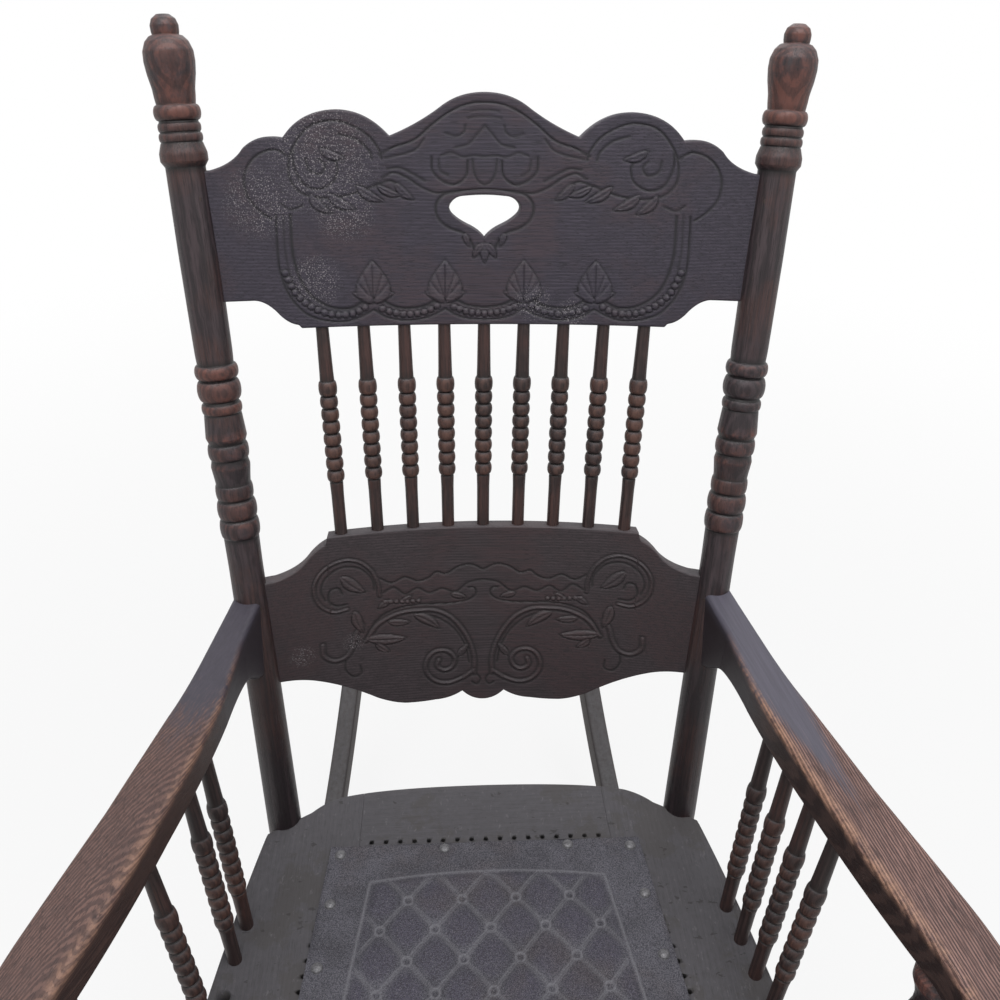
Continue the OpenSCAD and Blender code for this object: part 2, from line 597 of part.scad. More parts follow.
// Region of the front board between the side boards
front_joint_half = opening_front_half - corner_r;
module rear_region() {
  translate([-rear_joint_half, opening_back - corner_r])
    square([2 * rear_joint_half, seat_rear_w + 2 * corner_r]);
}
module front_region() {
  translate([-front_joint_half, -seat_depth])
    square([2 * front_joint_half, seat_depth + opening_front + corner_r]);
}
module seat_holes() {
  for (x = cane_row_x) translate([x, opening_back + cane_inset]) circle(d = cane_d);
  for (s = [-1, 1]) for (e = cane_side_e)
    translate([s * (opening_half + cane_inset + (opening_back - e) * opening_flare_share), e])
      circle(d = cane_d);
}
cane_rear_n = floor((opening_half - corner_r / 2) / cane_pitch);
cane_row_x = [for (i = [-cane_rear_n:cane_rear_n]) i * cane_pitch];
cane_side_n = floor((opening_back - opening_front - corner_r) / cane_pitch);
cane_side_e = [for (i = [0:cane_side_n]) opening_back - corner_r / 2 - i * cane_pitch];
// Every board is cut for what enters it
module seat_cuts() {
  both_sides() {
    along(elbow, finial) translate([0, 0, -post_d]) cylinder(h = 2 * post_d, d = post_cut_d);
    translate(elbow) sphere(d = elbow_d + 2 * fit);
    along(rear_foot, elbow) cylinder(h = norm(elbow - rear_foot), d = post_cut_d);
    for (k = [1:4]) along(arm_spindle_low(k), arm_spindle_high(k))
      translate([0, 0, -arm_spindle_in - fit])
        cylinder(h = arm_spindle_in + fit + 2 * post_d, d = arm_spindle_d + 2 * fit);
    along(arm_post_low, arm_post_high) translate([0, 0, -arm_spindle_in - fit])
      cylinder(h = arm_spindle_in + fit + 2 * post_d, d = arm_post_end_d + 2 * fit);
    along(leg_foot, leg_top) cylinder(h = norm(leg_top - leg_foot) + leg_in + fit, d = leg_end_d + 2 * fit);
    seat_screw_at() screw_hole();
    on_seat() for (p = dowel_places) translate(p) rotate([0, 90, 0])
      cylinder(h = dowel_len + 2 * fit, d = dowel_d + 2 * fit, center = true);
  }
  on_seat() for (p = nail_places) translate([p[0], p[1], lift + leather_t - nail_len - fit])
    cylinder(h = nail_len + over, d = nail_shank_d + 2 * fit);
}
post_cut_d = shaft_d + 2 * fit;
module seat_board() {
  difference() {
    on_seat() translate([0, 0, -seat_t]) linear_extrude(seat_t) difference() {
      children();
      seat_holes();
    }
    seat_cuts();
  }
}
module seat_rear_board() { color(oak) seat_board() intersection() { seat_plan(); rear_region(); } }
module seat_front_board() { color(oak) seat_board() intersection() { seat_plan(); front_region(); } }
module seat_side_board(right) {
  color(oak) seat_board() difference() {
    seat_plan();
    rear_region();
    front_region();
    right_or_left(!right) translate([0, -seat_depth]) square([2 * seat_half, 2 * seat_depth]);
  }
}
// Two dowels across each joint, as shares of the boards' widths; the other half is mirrored
rear_dowel_shares = [0.24, 0.66];
front_dowel_shares = [0.23, 0.77];
dowel_places = [
  for (t = rear_dowel_shares) [rear_joint_half, opening_back + t * seat_rear_w, -seat_t / 2],
  for (t = front_dowel_shares) [front_joint_half, opening_front - t * seat_front_w, -seat_t / 2]];
module seat_dowels() {
  color(oak_worn) both_sides() on_seat() for (p = dowel_places)
    translate(p) rotate([0, 90, 0]) cylinder(h = dowel_len, d = dowel_d, center = true);
}

// Leather
leather_back = seat_behind - leather_set;
leather_flare_share = 0.095;
function leather_half_at(e) = leather_half + (leather_back - e) * leather_flare_share;
// Cells of the quilted field across and from back to front
cells = 34;
// Width of the soft rise at the seam as a share of the distance between the rosettes
quilt_rise_share = 0.25;
// Height of the quilting's top at a place, soft at the seam and drawn in along the diamonds
function quilt(x, e, edge) = let (
    ahead = leather_back - tuft_first - e,
    a = 180 * (x / tuft_w + ahead / tuft_l),
    b = 180 * (x / tuft_w - ahead / tuft_l),
    field = min(1, edge / (quilt_rise_share * tuft_w)))
  leather_t + quilt_h * field * sqrt(abs(sin(a) * sin(b)));
// Corners of the leather, drawn in by a margin
function leather_corners(m) = [for (c = [[-1, 0], [1, 0], [1, 1], [-1, 1]])
  let (e = leather_back - (c[1] == 0 ? m : leather_depth - m)) [c[0] * (leather_half_at(e) - m), e]];
// A point of the quilted field at shares across, from -1 to 1, and from back to front
function quilt_point(u, v) = let (
    m = border_w + fit,
    e = leather_back - m - v * (leather_depth - 2 * m),
    w = leather_half_at(e) - m,
    edge = min((1 - abs(u)) * w, min(v, 1 - v) * (leather_depth - 2 * m)))
  [u * w, e, lift + quilt(u * w, e, edge)];
module leather_border() {
  color(leather) on_seat() translate([0, 0, lift]) linear_extrude(leather_t) difference() {
    polygon(leather_corners(0));
    polygon(leather_corners(border_w));
    for (p = nail_places) translate([p[0], p[1]]) circle(d = nail_shank_d + 2 * fit);
  }
}
module leather_quilt() {
  n = cells + 1;
  rim = concat([for (i = [0:cells - 1]) i], [for (j = [0:cells - 1]) j * n + cells],
    [for (i = [cells:-1:1]) cells * n + i], [for (j = [cells:-1:1]) j * n]);
  top = [for (j = [0:cells]) for (i = [0:cells]) quilt_point(2 * i / cells - 1, j / cells)];
  low = [for (k = rim) [top[k][0], top[k][1], lift]];
  m = len(rim);
  color(leather) on_seat() polyhedron(points = concat(top, low), faces = concat(
    [for (j = [0:cells - 1]) for (i = [0:cells - 1]) each let (a = j * n + i)
      [[a, a + 1, a + n], [a + 1, a + n + 1, a + n]]],
    [for (k = [0:m - 1]) each let (l = (k + 1) % m)
      [[rim[k], n * n + k, rim[l]], [rim[l], n * n + k, n * n + l]]],
    [[for (k = [m - 1:-1:0]) n * n + k]]));
}
// Dome nails: distances from the leather's edges
nail_in = 10;
nail_rear_share = 0.6;
nail_dome_share = 0.32;
nail_side_shares = [0.03, 0.19, 0.375, 0.56, 0.75, 0.97];
nail_row_shares = [-0.27, 0.53];
nail_places = concat(
  [for (s = [-1, 1]) for (v = nail_side_shares)
    let (e = leather_back - v * leather_depth) [s * (leather_half_at(e) - nail_in), e]],
  [for (u = nail_row_shares)
    for (e = [leather_back - nail_rear_share * nail_in, leather_back - leather_depth + nail_in])
      [u * leather_half, e]]);
module leather_nails() {
  dome_h = nail_dome_share * nail_d;
  dome_r = (nail_d * nail_d / 4 + dome_h * dome_h) / (2 * dome_h);
  color(metal) on_seat() for (p = nail_places) translate([p[0], p[1], lift + leather_t + fit]) {
    intersection() {
      translate([0, 0, dome_h - dome_r]) sphere(dome_r);
      cylinder(h = dome_h, d = nail_d);
    }
    translate([0, 0, -nail_len]) cylinder(h = nail_len + fit, d = nail_shank_d);
  }
}

// Front legs
leg_top = seat_point(leg_half, -leg_e, -seat_t);
leg_foot_y = leg_top[1] - leg_foot_ahead;
leg_foot = [runner_x(leg_foot_y), leg_foot_y, runner_top(leg_foot_y)];
leg_end_share = leg_end_d / leg_d;
leg_shares = [
  [0.035, 0.035, leg_end_share, leg_end_share], [0.09, 0.09, 0.70, 0.70], [0.11, 0.15, 0.66, 0.92],
  [0.17, 0.17, 0.72, 0.72], [0.24, 0.24, 0.94, 0.94], [0.40, 0.40, 1.0, 1.0],
  [0.78, 0.78, 1.0, 1.0], [0.81, 0.85, 0.82, 1.0], [0.86, 0.90, 0.82, 1.0], [0.92, 0.92, 0.70, 0.70],
  [0.97, 0.97, leg_end_share, leg_end_share]];
module front_leg(right) {
  color(oak) right_or_left(right) difference() {
    along(leg_foot, leg_top) turned(leg_shares, norm(leg_top - leg_foot), leg_d, leg_end_d, runner_in,
      leg_end_d, leg_in);
    stretcher_socket(side_low_front, side_low_rear);
    stretcher_socket(side_high_front, side_high_rear);
    stretcher_socket(front_low_right, flip(front_low_right));
    stretcher_socket(front_high_right, flip(front_high_right));
    runner_pin_at(leg_foot) pin_hole();
  }
}

// Stretchers
side_low_front = at_height(leg_foot, leg_top, side_low_z);
side_high_front = at_height(leg_foot, leg_top, side_high_z);
side_low_rear = at_height(rear_foot, elbow, side_low_z);
side_high_rear = at_height(rear_foot, elbow, side_high_z);
front_low_right = at_height(leg_foot, leg_top, front_low_z);
front_high_right = at_height(leg_foot, leg_top, front_high_z);
rear_right = at_height(rear_foot, elbow, rear_z);
stretcher_shares = [
  [0.02, 0.02, 0.52, 0.52], [0.12, 0.12, 0.66, 0.66], [0.16, 0.19, 0.66, 0.80], [0.22, 0.22, 0.70, 0.70],
  [0.36, 0.36, 0.88, 0.88], [0.42, 0.46, 0.86, 1.0], [0.465, 0.535, 0.84, 1.06], [0.54, 0.58, 0.86, 1.0],
  [0.64, 0.64, 0.88, 0.88], [0.78, 0.78, 0.70, 0.70], [0.81, 0.84, 0.66, 0.80], [0.88, 0.88, 0.66, 0.66],
  [0.98, 0.98, 0.52, 0.52]];
// How far a stretcher's ends stop short of the legs' axes
stretcher_short = leg_d / 2 - stretcher_in;
module stretcher(a, b) {
  l = norm(b - a) - 2 * stretcher_short - 2 * stretcher_in;
  color(oak) along(a, b) translate([0, 0, stretcher_short + stretcher_in])
    turned(stretcher_shares, l, stretcher_d, stretcher_end_d, stretcher_in, stretcher_end_d, stretcher_in);
}
// Socket in the leg at a for a stretcher towards b
module stretcher_socket(a, b) {
  along(a, b) translate([0, 0, stretcher_short - fit])
    cylinder(h = leg_d, d = stretcher_end_d + 2 * fit);
}

// Runners
module runner(right) {
  mid_r = runner_r - runner_h / 2;
  color(oak) right_or_left(right) difference() {
    translate([runner_half, low_y, runner_r]) rotate([0, 0, runner_toe]) rotate([90, 0, 90])
      translate([0, 0, -runner_w / 2]) linear_extrude(runner_w) {
        intersection() {
          difference() {
            circle(runner_r, $fn = arc_fn);
            circle(runner_r - runner_h, $fn = arc_fn);
          }
          polygon([[0, 0], 2 * runner_r * [sin(runner_rear_arc), -cos(runner_rear_arc)],
            [0, -3 * runner_r], 2 * runner_r * [-sin(runner_front_arc), -cos(runner_front_arc)]]);
        }
        translate(mid_r * [sin(runner_rear_arc), -cos(runner_rear_arc)]) circle(d = runner_h);
        translate(mid_r * [-sin(runner_front_arc), -cos(runner_front_arc)]) circle(d = runner_h);
      }
    along(rear_foot, elbow) translate([0, 0, -runner_in - fit])
      cylinder(h = 2 * runner_in, d = leg_end_d + 2 * fit);
    along(leg_foot, leg_top) translate([0, 0, -runner_in - fit])
      cylinder(h = 2 * runner_in, d = leg_end_d + 2 * fit);
    runner_pin_at(rear_foot) pin_hole();
    runner_pin_at(leg_foot) pin_hole();
  }
}

// Fasteners
// A countersunk wood screw along +Z, its head's face at the origin
module screw(grow = 0) {
  rotate_extrude() polygon([[0, 0], [screw_head_d / 2 + grow, 0],
    [screw_d / 2 + grow, (screw_head_d - screw_d) / 2], [screw_d / 2 + grow, screw_len + grow],
    [0, screw_len + grow]]);
}
module screw_hole() {
  screw(fit);
  translate([0, 0, -screw_head_d]) cylinder(h = screw_head_d, d = screw_head_d + 2 * fit);
}
// A screw through each post into the arm's end, driven from behind and square to the back
arm_screw_s = (arm_z - arm_root_h / 2 - seat_z) / cos(back_rake);
module arm_screw_at() {
  on_back() translate([post_x(arm_screw_s), post_d / 2 - screw_head_d / 4, arm_screw_s])
    rotate([90, 0, 0]) children();
}
// A screw through each post into the seat's corner, driven from outside
module seat_screw_at() {
  on_seat() translate([post_half + post_d / 2 - screw_head_d / 4, 0, -elbow_drop])
    rotate([0, -90, 0]) children();
}
module arm_screws() { color(metal) both_sides() arm_screw_at() screw(); }
module seat_screws() { color(metal) both_sides() seat_screw_at() screw(); }
// Pins that lock the boards in the posts: shares of the way up each board's end
pin_shares = [0.2, 0.8];
board_pin_places = concat([for (t = pin_shares) crest_end_low + t * (crest_end_high - crest_end_low)],
  [for (t = pin_shares) slat_end_low + t * (slat_end_high - slat_end_low)]);
// How far the pins stand inward of the posts' axes, to pass through the boards' ends
pin_off = post_d / 2 - board_in + pin_d;
module board_pin_at(s) {
  on_back() translate([post_x(s) - pin_off, sqrt(post_d * post_d / 4 - pin_off * pin_off), s])
    rotate([90, 0, 0]) children();
}
module pin() { cylinder(h = pin_len, d = pin_d); }
module pin_hole() { translate([0, 0, -pin_len]) cylinder(h = 2 * pin_len + fit, d = pin_d + 2 * fit); }
module board_pins() {
  color(oak_worn) both_sides() for (p = board_pin_places) board_pin_at(p) pin();
}
// Pins across the runners through the legs' ends, driven from outside
module runner_pin_at(foot) {
  translate([foot[0], foot[1], foot[2] - runner_in / 2]) rotate([0, 0, runner_toe])
    translate([runner_w / 2, 0, 0]) rotate([0, -90, 0]) children();
}
module runner_pins() {
  color(oak_worn) both_sides() {
    runner_pin_at(rear_foot) pin();
    runner_pin_at(leg_foot) pin();
  }
}

back_post(false);  // left_back_post
back_post(true);  // right_back_post
crest_rail();
lower_back_slat();
for (k = [1:spindle_n])
  back_spindle(k);
arm(false);  // left_arm
arm(true);  // right_arm
arm_post(false);  // left_arm_post
arm_post(true);  // right_arm_post
for (k = [1, 2, 4])
  arm_spindle(k, false);
for (k = [1:4])
  arm_spindle(k, true);
seat_rear_board();
seat_front_board();
seat_side_board(false);  // seat_left_board
seat_side_board(true);  // seat_right_board
seat_dowels();
leather_border();
leather_quilt();
leather_nails();
front_leg(false);  // left_front_leg
front_leg(true);  // right_front_leg
stretcher(flip(front_low_right), front_low_right);  // front_stretcher_lower
stretcher(flip(front_high_right), front_high_right);  // front_stretcher_upper
stretcher(flip(rear_right), rear_right);  // rear_stretcher
stretcher(flip(side_low_front), flip(side_low_rear));  // left_stretcher_lower
stretcher(flip(side_high_front), flip(side_high_rear));  // left_stretcher_upper
stretcher(side_low_front, side_low_rear);  // right_stretcher_lower
stretcher(side_high_front, side_high_rear);  // right_stretcher_upper
runner(false);  // left_runner
runner(true);  // right_runner
arm_screws();
seat_screws();
board_pins();
runner_pins();
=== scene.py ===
"""Looks of an armed rocking chair of turned and pressed oak with a nailed, quilted leather seat.

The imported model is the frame.  The wooden pieces, the leather and its nails are surfaces worked
out with numpy in the chair's own millimetres (X across, Y to the back, Z up, floor at 0), and they
become metres when they become meshes.  Screws, pins and dowels stay as the frame has them.
"""

import logging
import math
from dataclasses import dataclass
from enum import Enum
from typing import Sequence

import bpy
import numpy as np
from mathutils import Matrix


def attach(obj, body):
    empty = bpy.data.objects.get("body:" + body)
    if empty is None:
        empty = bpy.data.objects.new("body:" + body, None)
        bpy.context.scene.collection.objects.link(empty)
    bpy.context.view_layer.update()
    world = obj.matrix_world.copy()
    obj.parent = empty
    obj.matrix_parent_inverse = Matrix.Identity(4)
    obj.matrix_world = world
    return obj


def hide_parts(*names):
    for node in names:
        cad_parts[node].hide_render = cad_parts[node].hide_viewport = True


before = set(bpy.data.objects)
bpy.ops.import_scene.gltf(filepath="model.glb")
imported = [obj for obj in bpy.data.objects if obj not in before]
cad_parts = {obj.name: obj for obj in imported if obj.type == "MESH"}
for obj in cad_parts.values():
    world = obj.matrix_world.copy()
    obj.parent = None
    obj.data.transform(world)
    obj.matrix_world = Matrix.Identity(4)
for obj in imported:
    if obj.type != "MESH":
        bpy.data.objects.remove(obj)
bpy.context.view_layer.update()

LOG = logging.getLogger("rocking_chair")
MM = 0.001
BODY = "root"
Array = np.ndarray
Piece = bpy.types.Object
Material = bpy.types.Material
Socket = bpy.types.NodeSocket
Colour = tuple[float, float, float]
Place = tuple[float, float, float]
Rows = Sequence[tuple[float, ...]]
Points = Sequence[tuple[float, float]]
Runs = Sequence[Points]


# Plain geometry

def unit(vector: Array) -> Array:
    """A vector, or rows of vectors, brought to length one."""
    return vector / np.linalg.norm(vector, axis=-1, keepdims=True)


def span(a: Array, b: Array) -> float:
    """Distance between two places."""
    return float(np.linalg.norm(b - a))


def fade(value: Array, low: float, high: float) -> Array:
    """0 below low, 1 above high and a smooth cubic step between."""
    t = np.clip((value - low) / (high - low), 0, 1)
    return t * t * (3 - 2 * t)


def travel(curve: Array) -> Array:
    """Distance travelled along a curve at each of its points."""
    return np.concatenate(([0.0], np.cumsum(np.linalg.norm(np.diff(curve, axis=0), axis=1))))


def resample(curve: Array, step: float) -> Array:
    """The same curve with points at equal distances of about one step.

    Args:
        curve: points, one a row.
        step: wanted distance between points, in millimetres.

    Returns:
        The new points, with both ends kept.
    """
    way = travel(curve)
    at = np.linspace(0, way[-1], max(2, round(way[-1] / step) + 1))
    return np.column_stack([np.interp(at, way, curve[:, k]) for k in range(curve.shape[1])])


def outline(start: tuple[float, float], runs: Runs, steps: int = 14) -> Array:
    """A path from a start through straight and bent stretches.

    Args:
        start: first point.
        runs: each is (end,) for a straight stretch, or (towards, end) for a quadratic curve that
            leaves for towards and comes in from it.
        steps: points on each bent stretch.

    Returns:
        The path's points.
    """
    path = np.array([start], float)
    t = np.linspace(0, 1, steps + 1)[1:, None]
    for run in runs:
        ends = [np.array(p, float) for p in run]
        if len(ends) == 1:
            path = np.vstack((path, ends[0]))
        else:
            arc = (1 - t) ** 2 * path[-1] + 2 * t * (1 - t) * ends[0] + t ** 2 * ends[1]
            path = np.vstack((path, arc))
    return path


def scaled(runs: Runs, width: float, height: float, lift: float = 0.0) -> list[list[tuple[float, float]]]:
    """Runs in shares of two sizes turned into places, raised by lift."""
    return [[(p[0] * width, p[1] * height + lift) for p in run] for run in runs]


def flowing(points: Sequence[float], step: float = 0.5) -> Array:
    """A smooth curve through listed points, given as their two numbers in turn: on each span a
    cubic whose slope at either end is half the way between that end's two neighbours."""
    p = np.asarray(points, float).reshape(-1, 2)
    ghost = np.vstack((2 * p[0] - p[1], p, 2 * p[-1] - p[-2]))
    t = np.linspace(0, 1, 14, endpoint=False)[None, :, None]
    a, b, c, d = (ghost[k:len(p) - 1 + k, None, :] for k in range(4))
    curve = 0.5 * (2 * b + (c - a) * t + (2 * a - 5 * b + 4 * c - d) * t ** 2
                   + (3 * b - a - 3 * c + d) * t ** 3)
    return resample(np.vstack((curve.reshape(-1, 2), p[-1:])), step)


def soften(values: Array, reach: float) -> Array:
    """Values averaged under a bell curve of the given spread in samples, carried on past both
    ends as their own point reflection."""
    tail = int(math.ceil(3 * reach))
    bell = np.exp(-0.5 * (np.arange(-tail, tail + 1) / reach) ** 2)
    padded = np.concatenate((2 * values[0] - values[tail:0:-1], values,
                             2 * values[-1] - values[-2:-tail - 2:-1]))
    return np.convolve(padded, bell / bell.sum(), mode="valid")


def nearest(places: Array, samples: Array, reach: float) -> Array:
    """Distance from each place to the nearest sample, or reach where it is farther."""
    found = np.full(len(places), float(reach))
    near = np.all((places > samples.min(0) - reach) & (places < samples.max(0) + reach), axis=1)
    index = np.flatnonzero(near)
    for part in np.array_split(index, len(index) * len(samples) // 4_000_000 + 1):
        gap = np.hypot(places[part, 0, None] - samples[:, 0], places[part, 1, None] - samples[:, 1])
        found[part] = np.minimum(gap.min(1, initial=reach), reach)
    return found


@dataclass(frozen=True)
class Axes:
    """A rigid frame: an origin and the directions of its own X, Y and Z as rows."""

    origin: Array
    rows: Array

    def place(self, local: Array) -> Array:
        """Places given in this frame, in the chair's frame."""
        return self.origin + local @ self.rows

    def local(self, places: Array) -> Array:
        """Places of the chair's frame, given in this frame."""
        return (places - self.origin) @ self.rows.T


# The chair's sizes and the places that follow from them

@dataclass(frozen=True)
class Chair:
    """Driving sizes of the chair, in millimetres and degrees, and the frames that they give."""

    seat_z: float = 405.0
    seat_fall: float = 2.2
    seat_behind: float = 33.0
    seat_t: float = 22.0
    post_half: float = 192.5
    post_lean: float = 3.05
    back_rake: float = 14.6
    post_len: float = 695.0
    post_d: float = 31.0
    elbow_drop: float = 12.0
    rear_foot_back: float = 45.0
    arm_z: float = 636.0
    arm_t: float = 30.0
    arm_len: float = 441.0
    arm_half: float = 194.0
    arm_flare: float = 117.0
    arm_spindle_rake: float = 10.7
    leg_half: float = 214.0
    leg_e: float = 338.0
    leg_foot_ahead: float = 22.0
    runner_r: float = 860.0
    runner_h: float = 38.0
    runner_w: float = 24.0
    runner_half: float = 230.5
    runner_toe: float = 7.3
    runner_rear_arc: float = 35.0
    runner_front_arc: float = 27.0
    post_behind_low: float = 85.0
    turned_in: float = 14.0
    leg_in: float = 15.0
    runner_in: float = 20.0

    def reach(self, arc: float) -> float:
        """Reach of a runner's rounded end from its lowest point, measured along Y."""
        arc, toe = math.radians(arc), math.radians(self.runner_toe)
        return (math.cos(toe) * ((self.runner_r - self.runner_h / 2) * math.sin(arc) + self.runner_h / 2)
                + math.sin(toe) * self.runner_w / 2)

    @property
    def low_y(self) -> float:
        """Place along Y of the runners' lowest points."""
        return (self.reach(self.runner_front_arc) - self.reach(self.runner_rear_arc)) / 2

    @property
    def post_y(self) -> float:
        """Place along Y of the back posts at the seat's top."""
        return self.low_y + self.post_behind_low

    @property
    def seat(self) -> Axes:
        """Frame of the seat: X across, Y back, Z up from its top."""
        return self.tilted(self.seat_fall)

    @property
    def back(self) -> Axes:
        """Frame of the raked back: X across, Y square to it, Z up along it."""
        return self.tilted(self.back_rake)

    def tilted(self, degrees: float) -> Axes:
        """A frame at the posts' foot in the seat, tipped back by an angle."""
        c, s = math.cos(math.radians(degrees)), math.sin(math.radians(degrees))
        return Axes(np.array([0, self.post_y, self.seat_z]), np.array([[1, 0, 0], [0, c, -s], [0, s, c]]))

    def on_seat(self, x: float, e: float, h: float = 0.0) -> Array:
        """A place on the seat, e behind the posts and h above its top."""
        return self.seat.place(np.array([x, e, h]))

    def post_x(self, s: float) -> float:
        """Half distance between the posts' axes at a height along the back."""
        return self.post_half + s * math.tan(math.radians(self.post_lean))

    def runner_x(self, y: float) -> float:
        """Half distance between the runners' middles at a place along Y."""
        return self.runner_half - (y - self.low_y) * math.tan(math.radians(self.runner_toe))

    def runner_top(self, y: float) -> float:
        """Height of a runner's upper edge at a place along Y."""
        along = (y - self.low_y) / math.cos(math.radians(self.runner_toe))
        return self.runner_r - math.sqrt((self.runner_r - self.runner_h) ** 2 - along ** 2)

    @property
    def elbow(self) -> Array:
        """Bend of the right back post, inside the seat's corner."""
        x = self.post_half - self.elbow_drop * math.tan(math.radians(self.post_lean))
        return self.back.place(np.array([x, 0, -self.elbow_drop]))

    @property
    def finial(self) -> Array:
        """Top of the right back post."""
        up = self.post_len * math.cos(math.radians(self.post_lean))
        return self.back.place(np.array([self.post_x(up), 0, up]))

    @property
    def rear_foot(self) -> Array:
        """Foot of the right back post on its runner."""
        y = self.post_y + self.rear_foot_back
        return np.array([self.runner_x(y), y, self.runner_top(y)])

    @property
    def leg_top(self) -> Array:
        """Top of the right front leg, in the seat's underside."""
        return self.on_seat(self.leg_half, -self.leg_e, -self.seat_t)

    @property
    def leg_foot(self) -> Array:
        """Foot of the right front leg on its runner."""
        y = self.leg_top[1] - self.leg_foot_ahead
        return np.array([self.runner_x(y), y, self.runner_top(y)])


CHAIR = Chair()


def plug(diameter: float, depth: float, play: float = 1.0) -> tuple[float, float]:
    """Diameter and length of a turned end, which stops short of its socket's bottom by the play."""
    return diameter, depth - play


def at_height(a: Array, b: Array, z: float) -> Array:
    """The place on the line through a and b at height z."""
    return a + (b - a) * ((z - a[2]) / (b[2] - a[2]))


class Side(Enum):
    """The chair's two sides, as seen from the front."""

    LEFT = -1
    RIGHT = 1

    @property
    def tag(self) -> str:
        """The side's name as the nodes have it."""
        return self.name.lower()

    def of(self, place: Array) -> Array:
        """A place of the right side moved to this side."""
        return place * np.array([self.value, 1, 1])


# Surfaces and meshes

@dataclass
class Surface:
    """A skin of rows of points, each row a closed loop, with what the finishes read.

    points: rows by columns by 3, in millimetres. grain: the same places in the wood's own frame,
    with Z along the grain. wear: 1 on rubbed crests. hollow: 1 where shade is painted, in creases
    and other shaded places; on the leather, its dusty lines. speck: share of pale specks, or of open
    grain on the arms.
    """

    points: Array
    grain: Array
    wear: Array | None = None
    hollow: Array | None = None
    speck: Array | None = None


def write_marks(mesh: bpy.types.Mesh, grain: Array, wear: Array, hollow: Array, speck: Array) -> None:
    """Stores what the finishes read on a mesh's points.

    Args:
        mesh: the mesh.
        grain: place of each point in the wood's own frame, in millimetres.
        wear: rubbed share of each point.
        hollow: painted shade at each point, in creases and other shaded places; on the leather, its dusty
            lines.
        speck: share of pale specks, or of open grain, at each point.
    """
    for name in ("grain", "wear", "hollow", "speck"):
        if name in mesh.attributes:
            mesh.attributes.remove(mesh.attributes[name])
    mesh.attributes.new("grain", "FLOAT_VECTOR", "POINT").data.foreach_set(
        "vector", (grain * MM).astype(np.float32).ravel())
    for name, values in (("wear", wear), ("hollow", hollow), ("speck", speck)):
        mesh.attributes.new(name, "FLOAT", "POINT").data.foreach_set(
            "value", np.ascontiguousarray(values, np.float32).ravel())


def mesh_from(name: str, points: Array, quads: Array, fans: Array) -> Piece:
    """A mesh object from points in millimetres, four-sided and three-sided faces.

    The faces are turned round if the enclosed volume, the sum over faces of the triple product of
    their corners, comes out negative, so they always point outwards.
    """
    corners = np.concatenate((quads[:, [0, 1, 2]], quads[:, [0, 2, 3]], fans))
    a, b, c = (points[corners[:, k]] for k in range(3))
    if np.einsum("ij,ij->", a, np.cross(b, c)) < 0:
        quads, fans = quads[:, ::-1], fans[:, ::-1]
    loops = np.concatenate((quads.ravel(), fans.ravel())).astype(np.int32)
    starts = np.concatenate((np.arange(len(quads)) * 4, len(quads) * 4 + np.arange(len(fans)) * 3))
    mesh = bpy.data.meshes.new(name)
    mesh.vertices.add(len(points))
    mesh.vertices.foreach_set("co", (points * MM).astype(np.float32).ravel())
    mesh.loops.add(len(loops))
    mesh.loops.foreach_set("vertex_index", loops)
    mesh.polygons.add(len(starts))
    mesh.polygons.foreach_set("loop_start", starts.astype(np.int32))
    mesh.polygons.foreach_set("use_smooth", np.ones(len(starts), bool))
    mesh.update(calc_edges=True)
    mesh.validate()
    mesh.set_sharp_from_angle(angle=math.radians(48))
    piece = bpy.data.objects.new(name, mesh)
    bpy.context.scene.collection.objects.link(piece)
    return piece


def loop_skin(name: str, surface: Surface) -> Piece:
    """A closed mesh over a surface's rows: four-sided faces between rows, and a fan of triangles
    from the middle of the first and of the last row."""
    rows, columns = surface.points.shape[:2]
    index = np.arange(rows * columns).reshape(rows, columns)
    turned = np.roll(index, -1, axis=1)
    quads = np.stack((index[:-1], turned[:-1], turned[1:], index[1:]), axis=-1).reshape(-1, 4)
    low, high = rows * columns, rows * columns + 1
    fans = np.concatenate((
        np.column_stack((np.full(columns, low), turned[0], index[0])),
        np.column_stack((np.full(columns, high), index[-1], turned[-1]))))

    def with_ends(values: Array | None) -> Array:
        """Values of all points, then the means of the first and of the last row."""
        if values is None:
            return np.zeros(rows * columns + 2)
        ends = (values[k].reshape(columns, -1).mean(0) for k in (0, -1))
        return np.vstack((values.reshape(rows * columns, -1), *ends))

    piece = mesh_from(name, with_ends(surface.points), quads, fans)
    marks = (surface.grain, surface.wear, surface.hollow, surface.speck)
    write_marks(piece.data, *map(with_ends, marks))
    return piece


def joined(name: str, pieces: Sequence[Piece]) -> Piece:
    """One object that holds the meshes of several, in their order."""
    points, quads, fans, base = [], [], [], 0
    for piece in pieces:
        mesh = piece.data
        co = np.zeros(len(mesh.vertices) * 3, np.float32)
        mesh.vertices.foreach_get("co", co)
        size = np.zeros(len(mesh.polygons), np.int32)
        mesh.polygons.foreach_get("loop_total", size)
        corner = np.zeros(len(mesh.loops), np.int32)
        mesh.loops.foreach_get("vertex_index", corner)
        start = np.concatenate(([0], np.cumsum(size)[:-1]))
        points.append(co.reshape(-1, 3) / MM)
        quads.append(corner[start[size == 4][:, None] + np.arange(4)] + base)
        fans.append(corner[start[size == 3][:, None] + np.arange(3)] + base)
        base += len(mesh.vertices)
        bpy.data.objects.remove(piece)
        bpy.data.meshes.remove(mesh)
    return mesh_from(name, np.vstack(points), np.vstack(quads), np.vstack(fans))


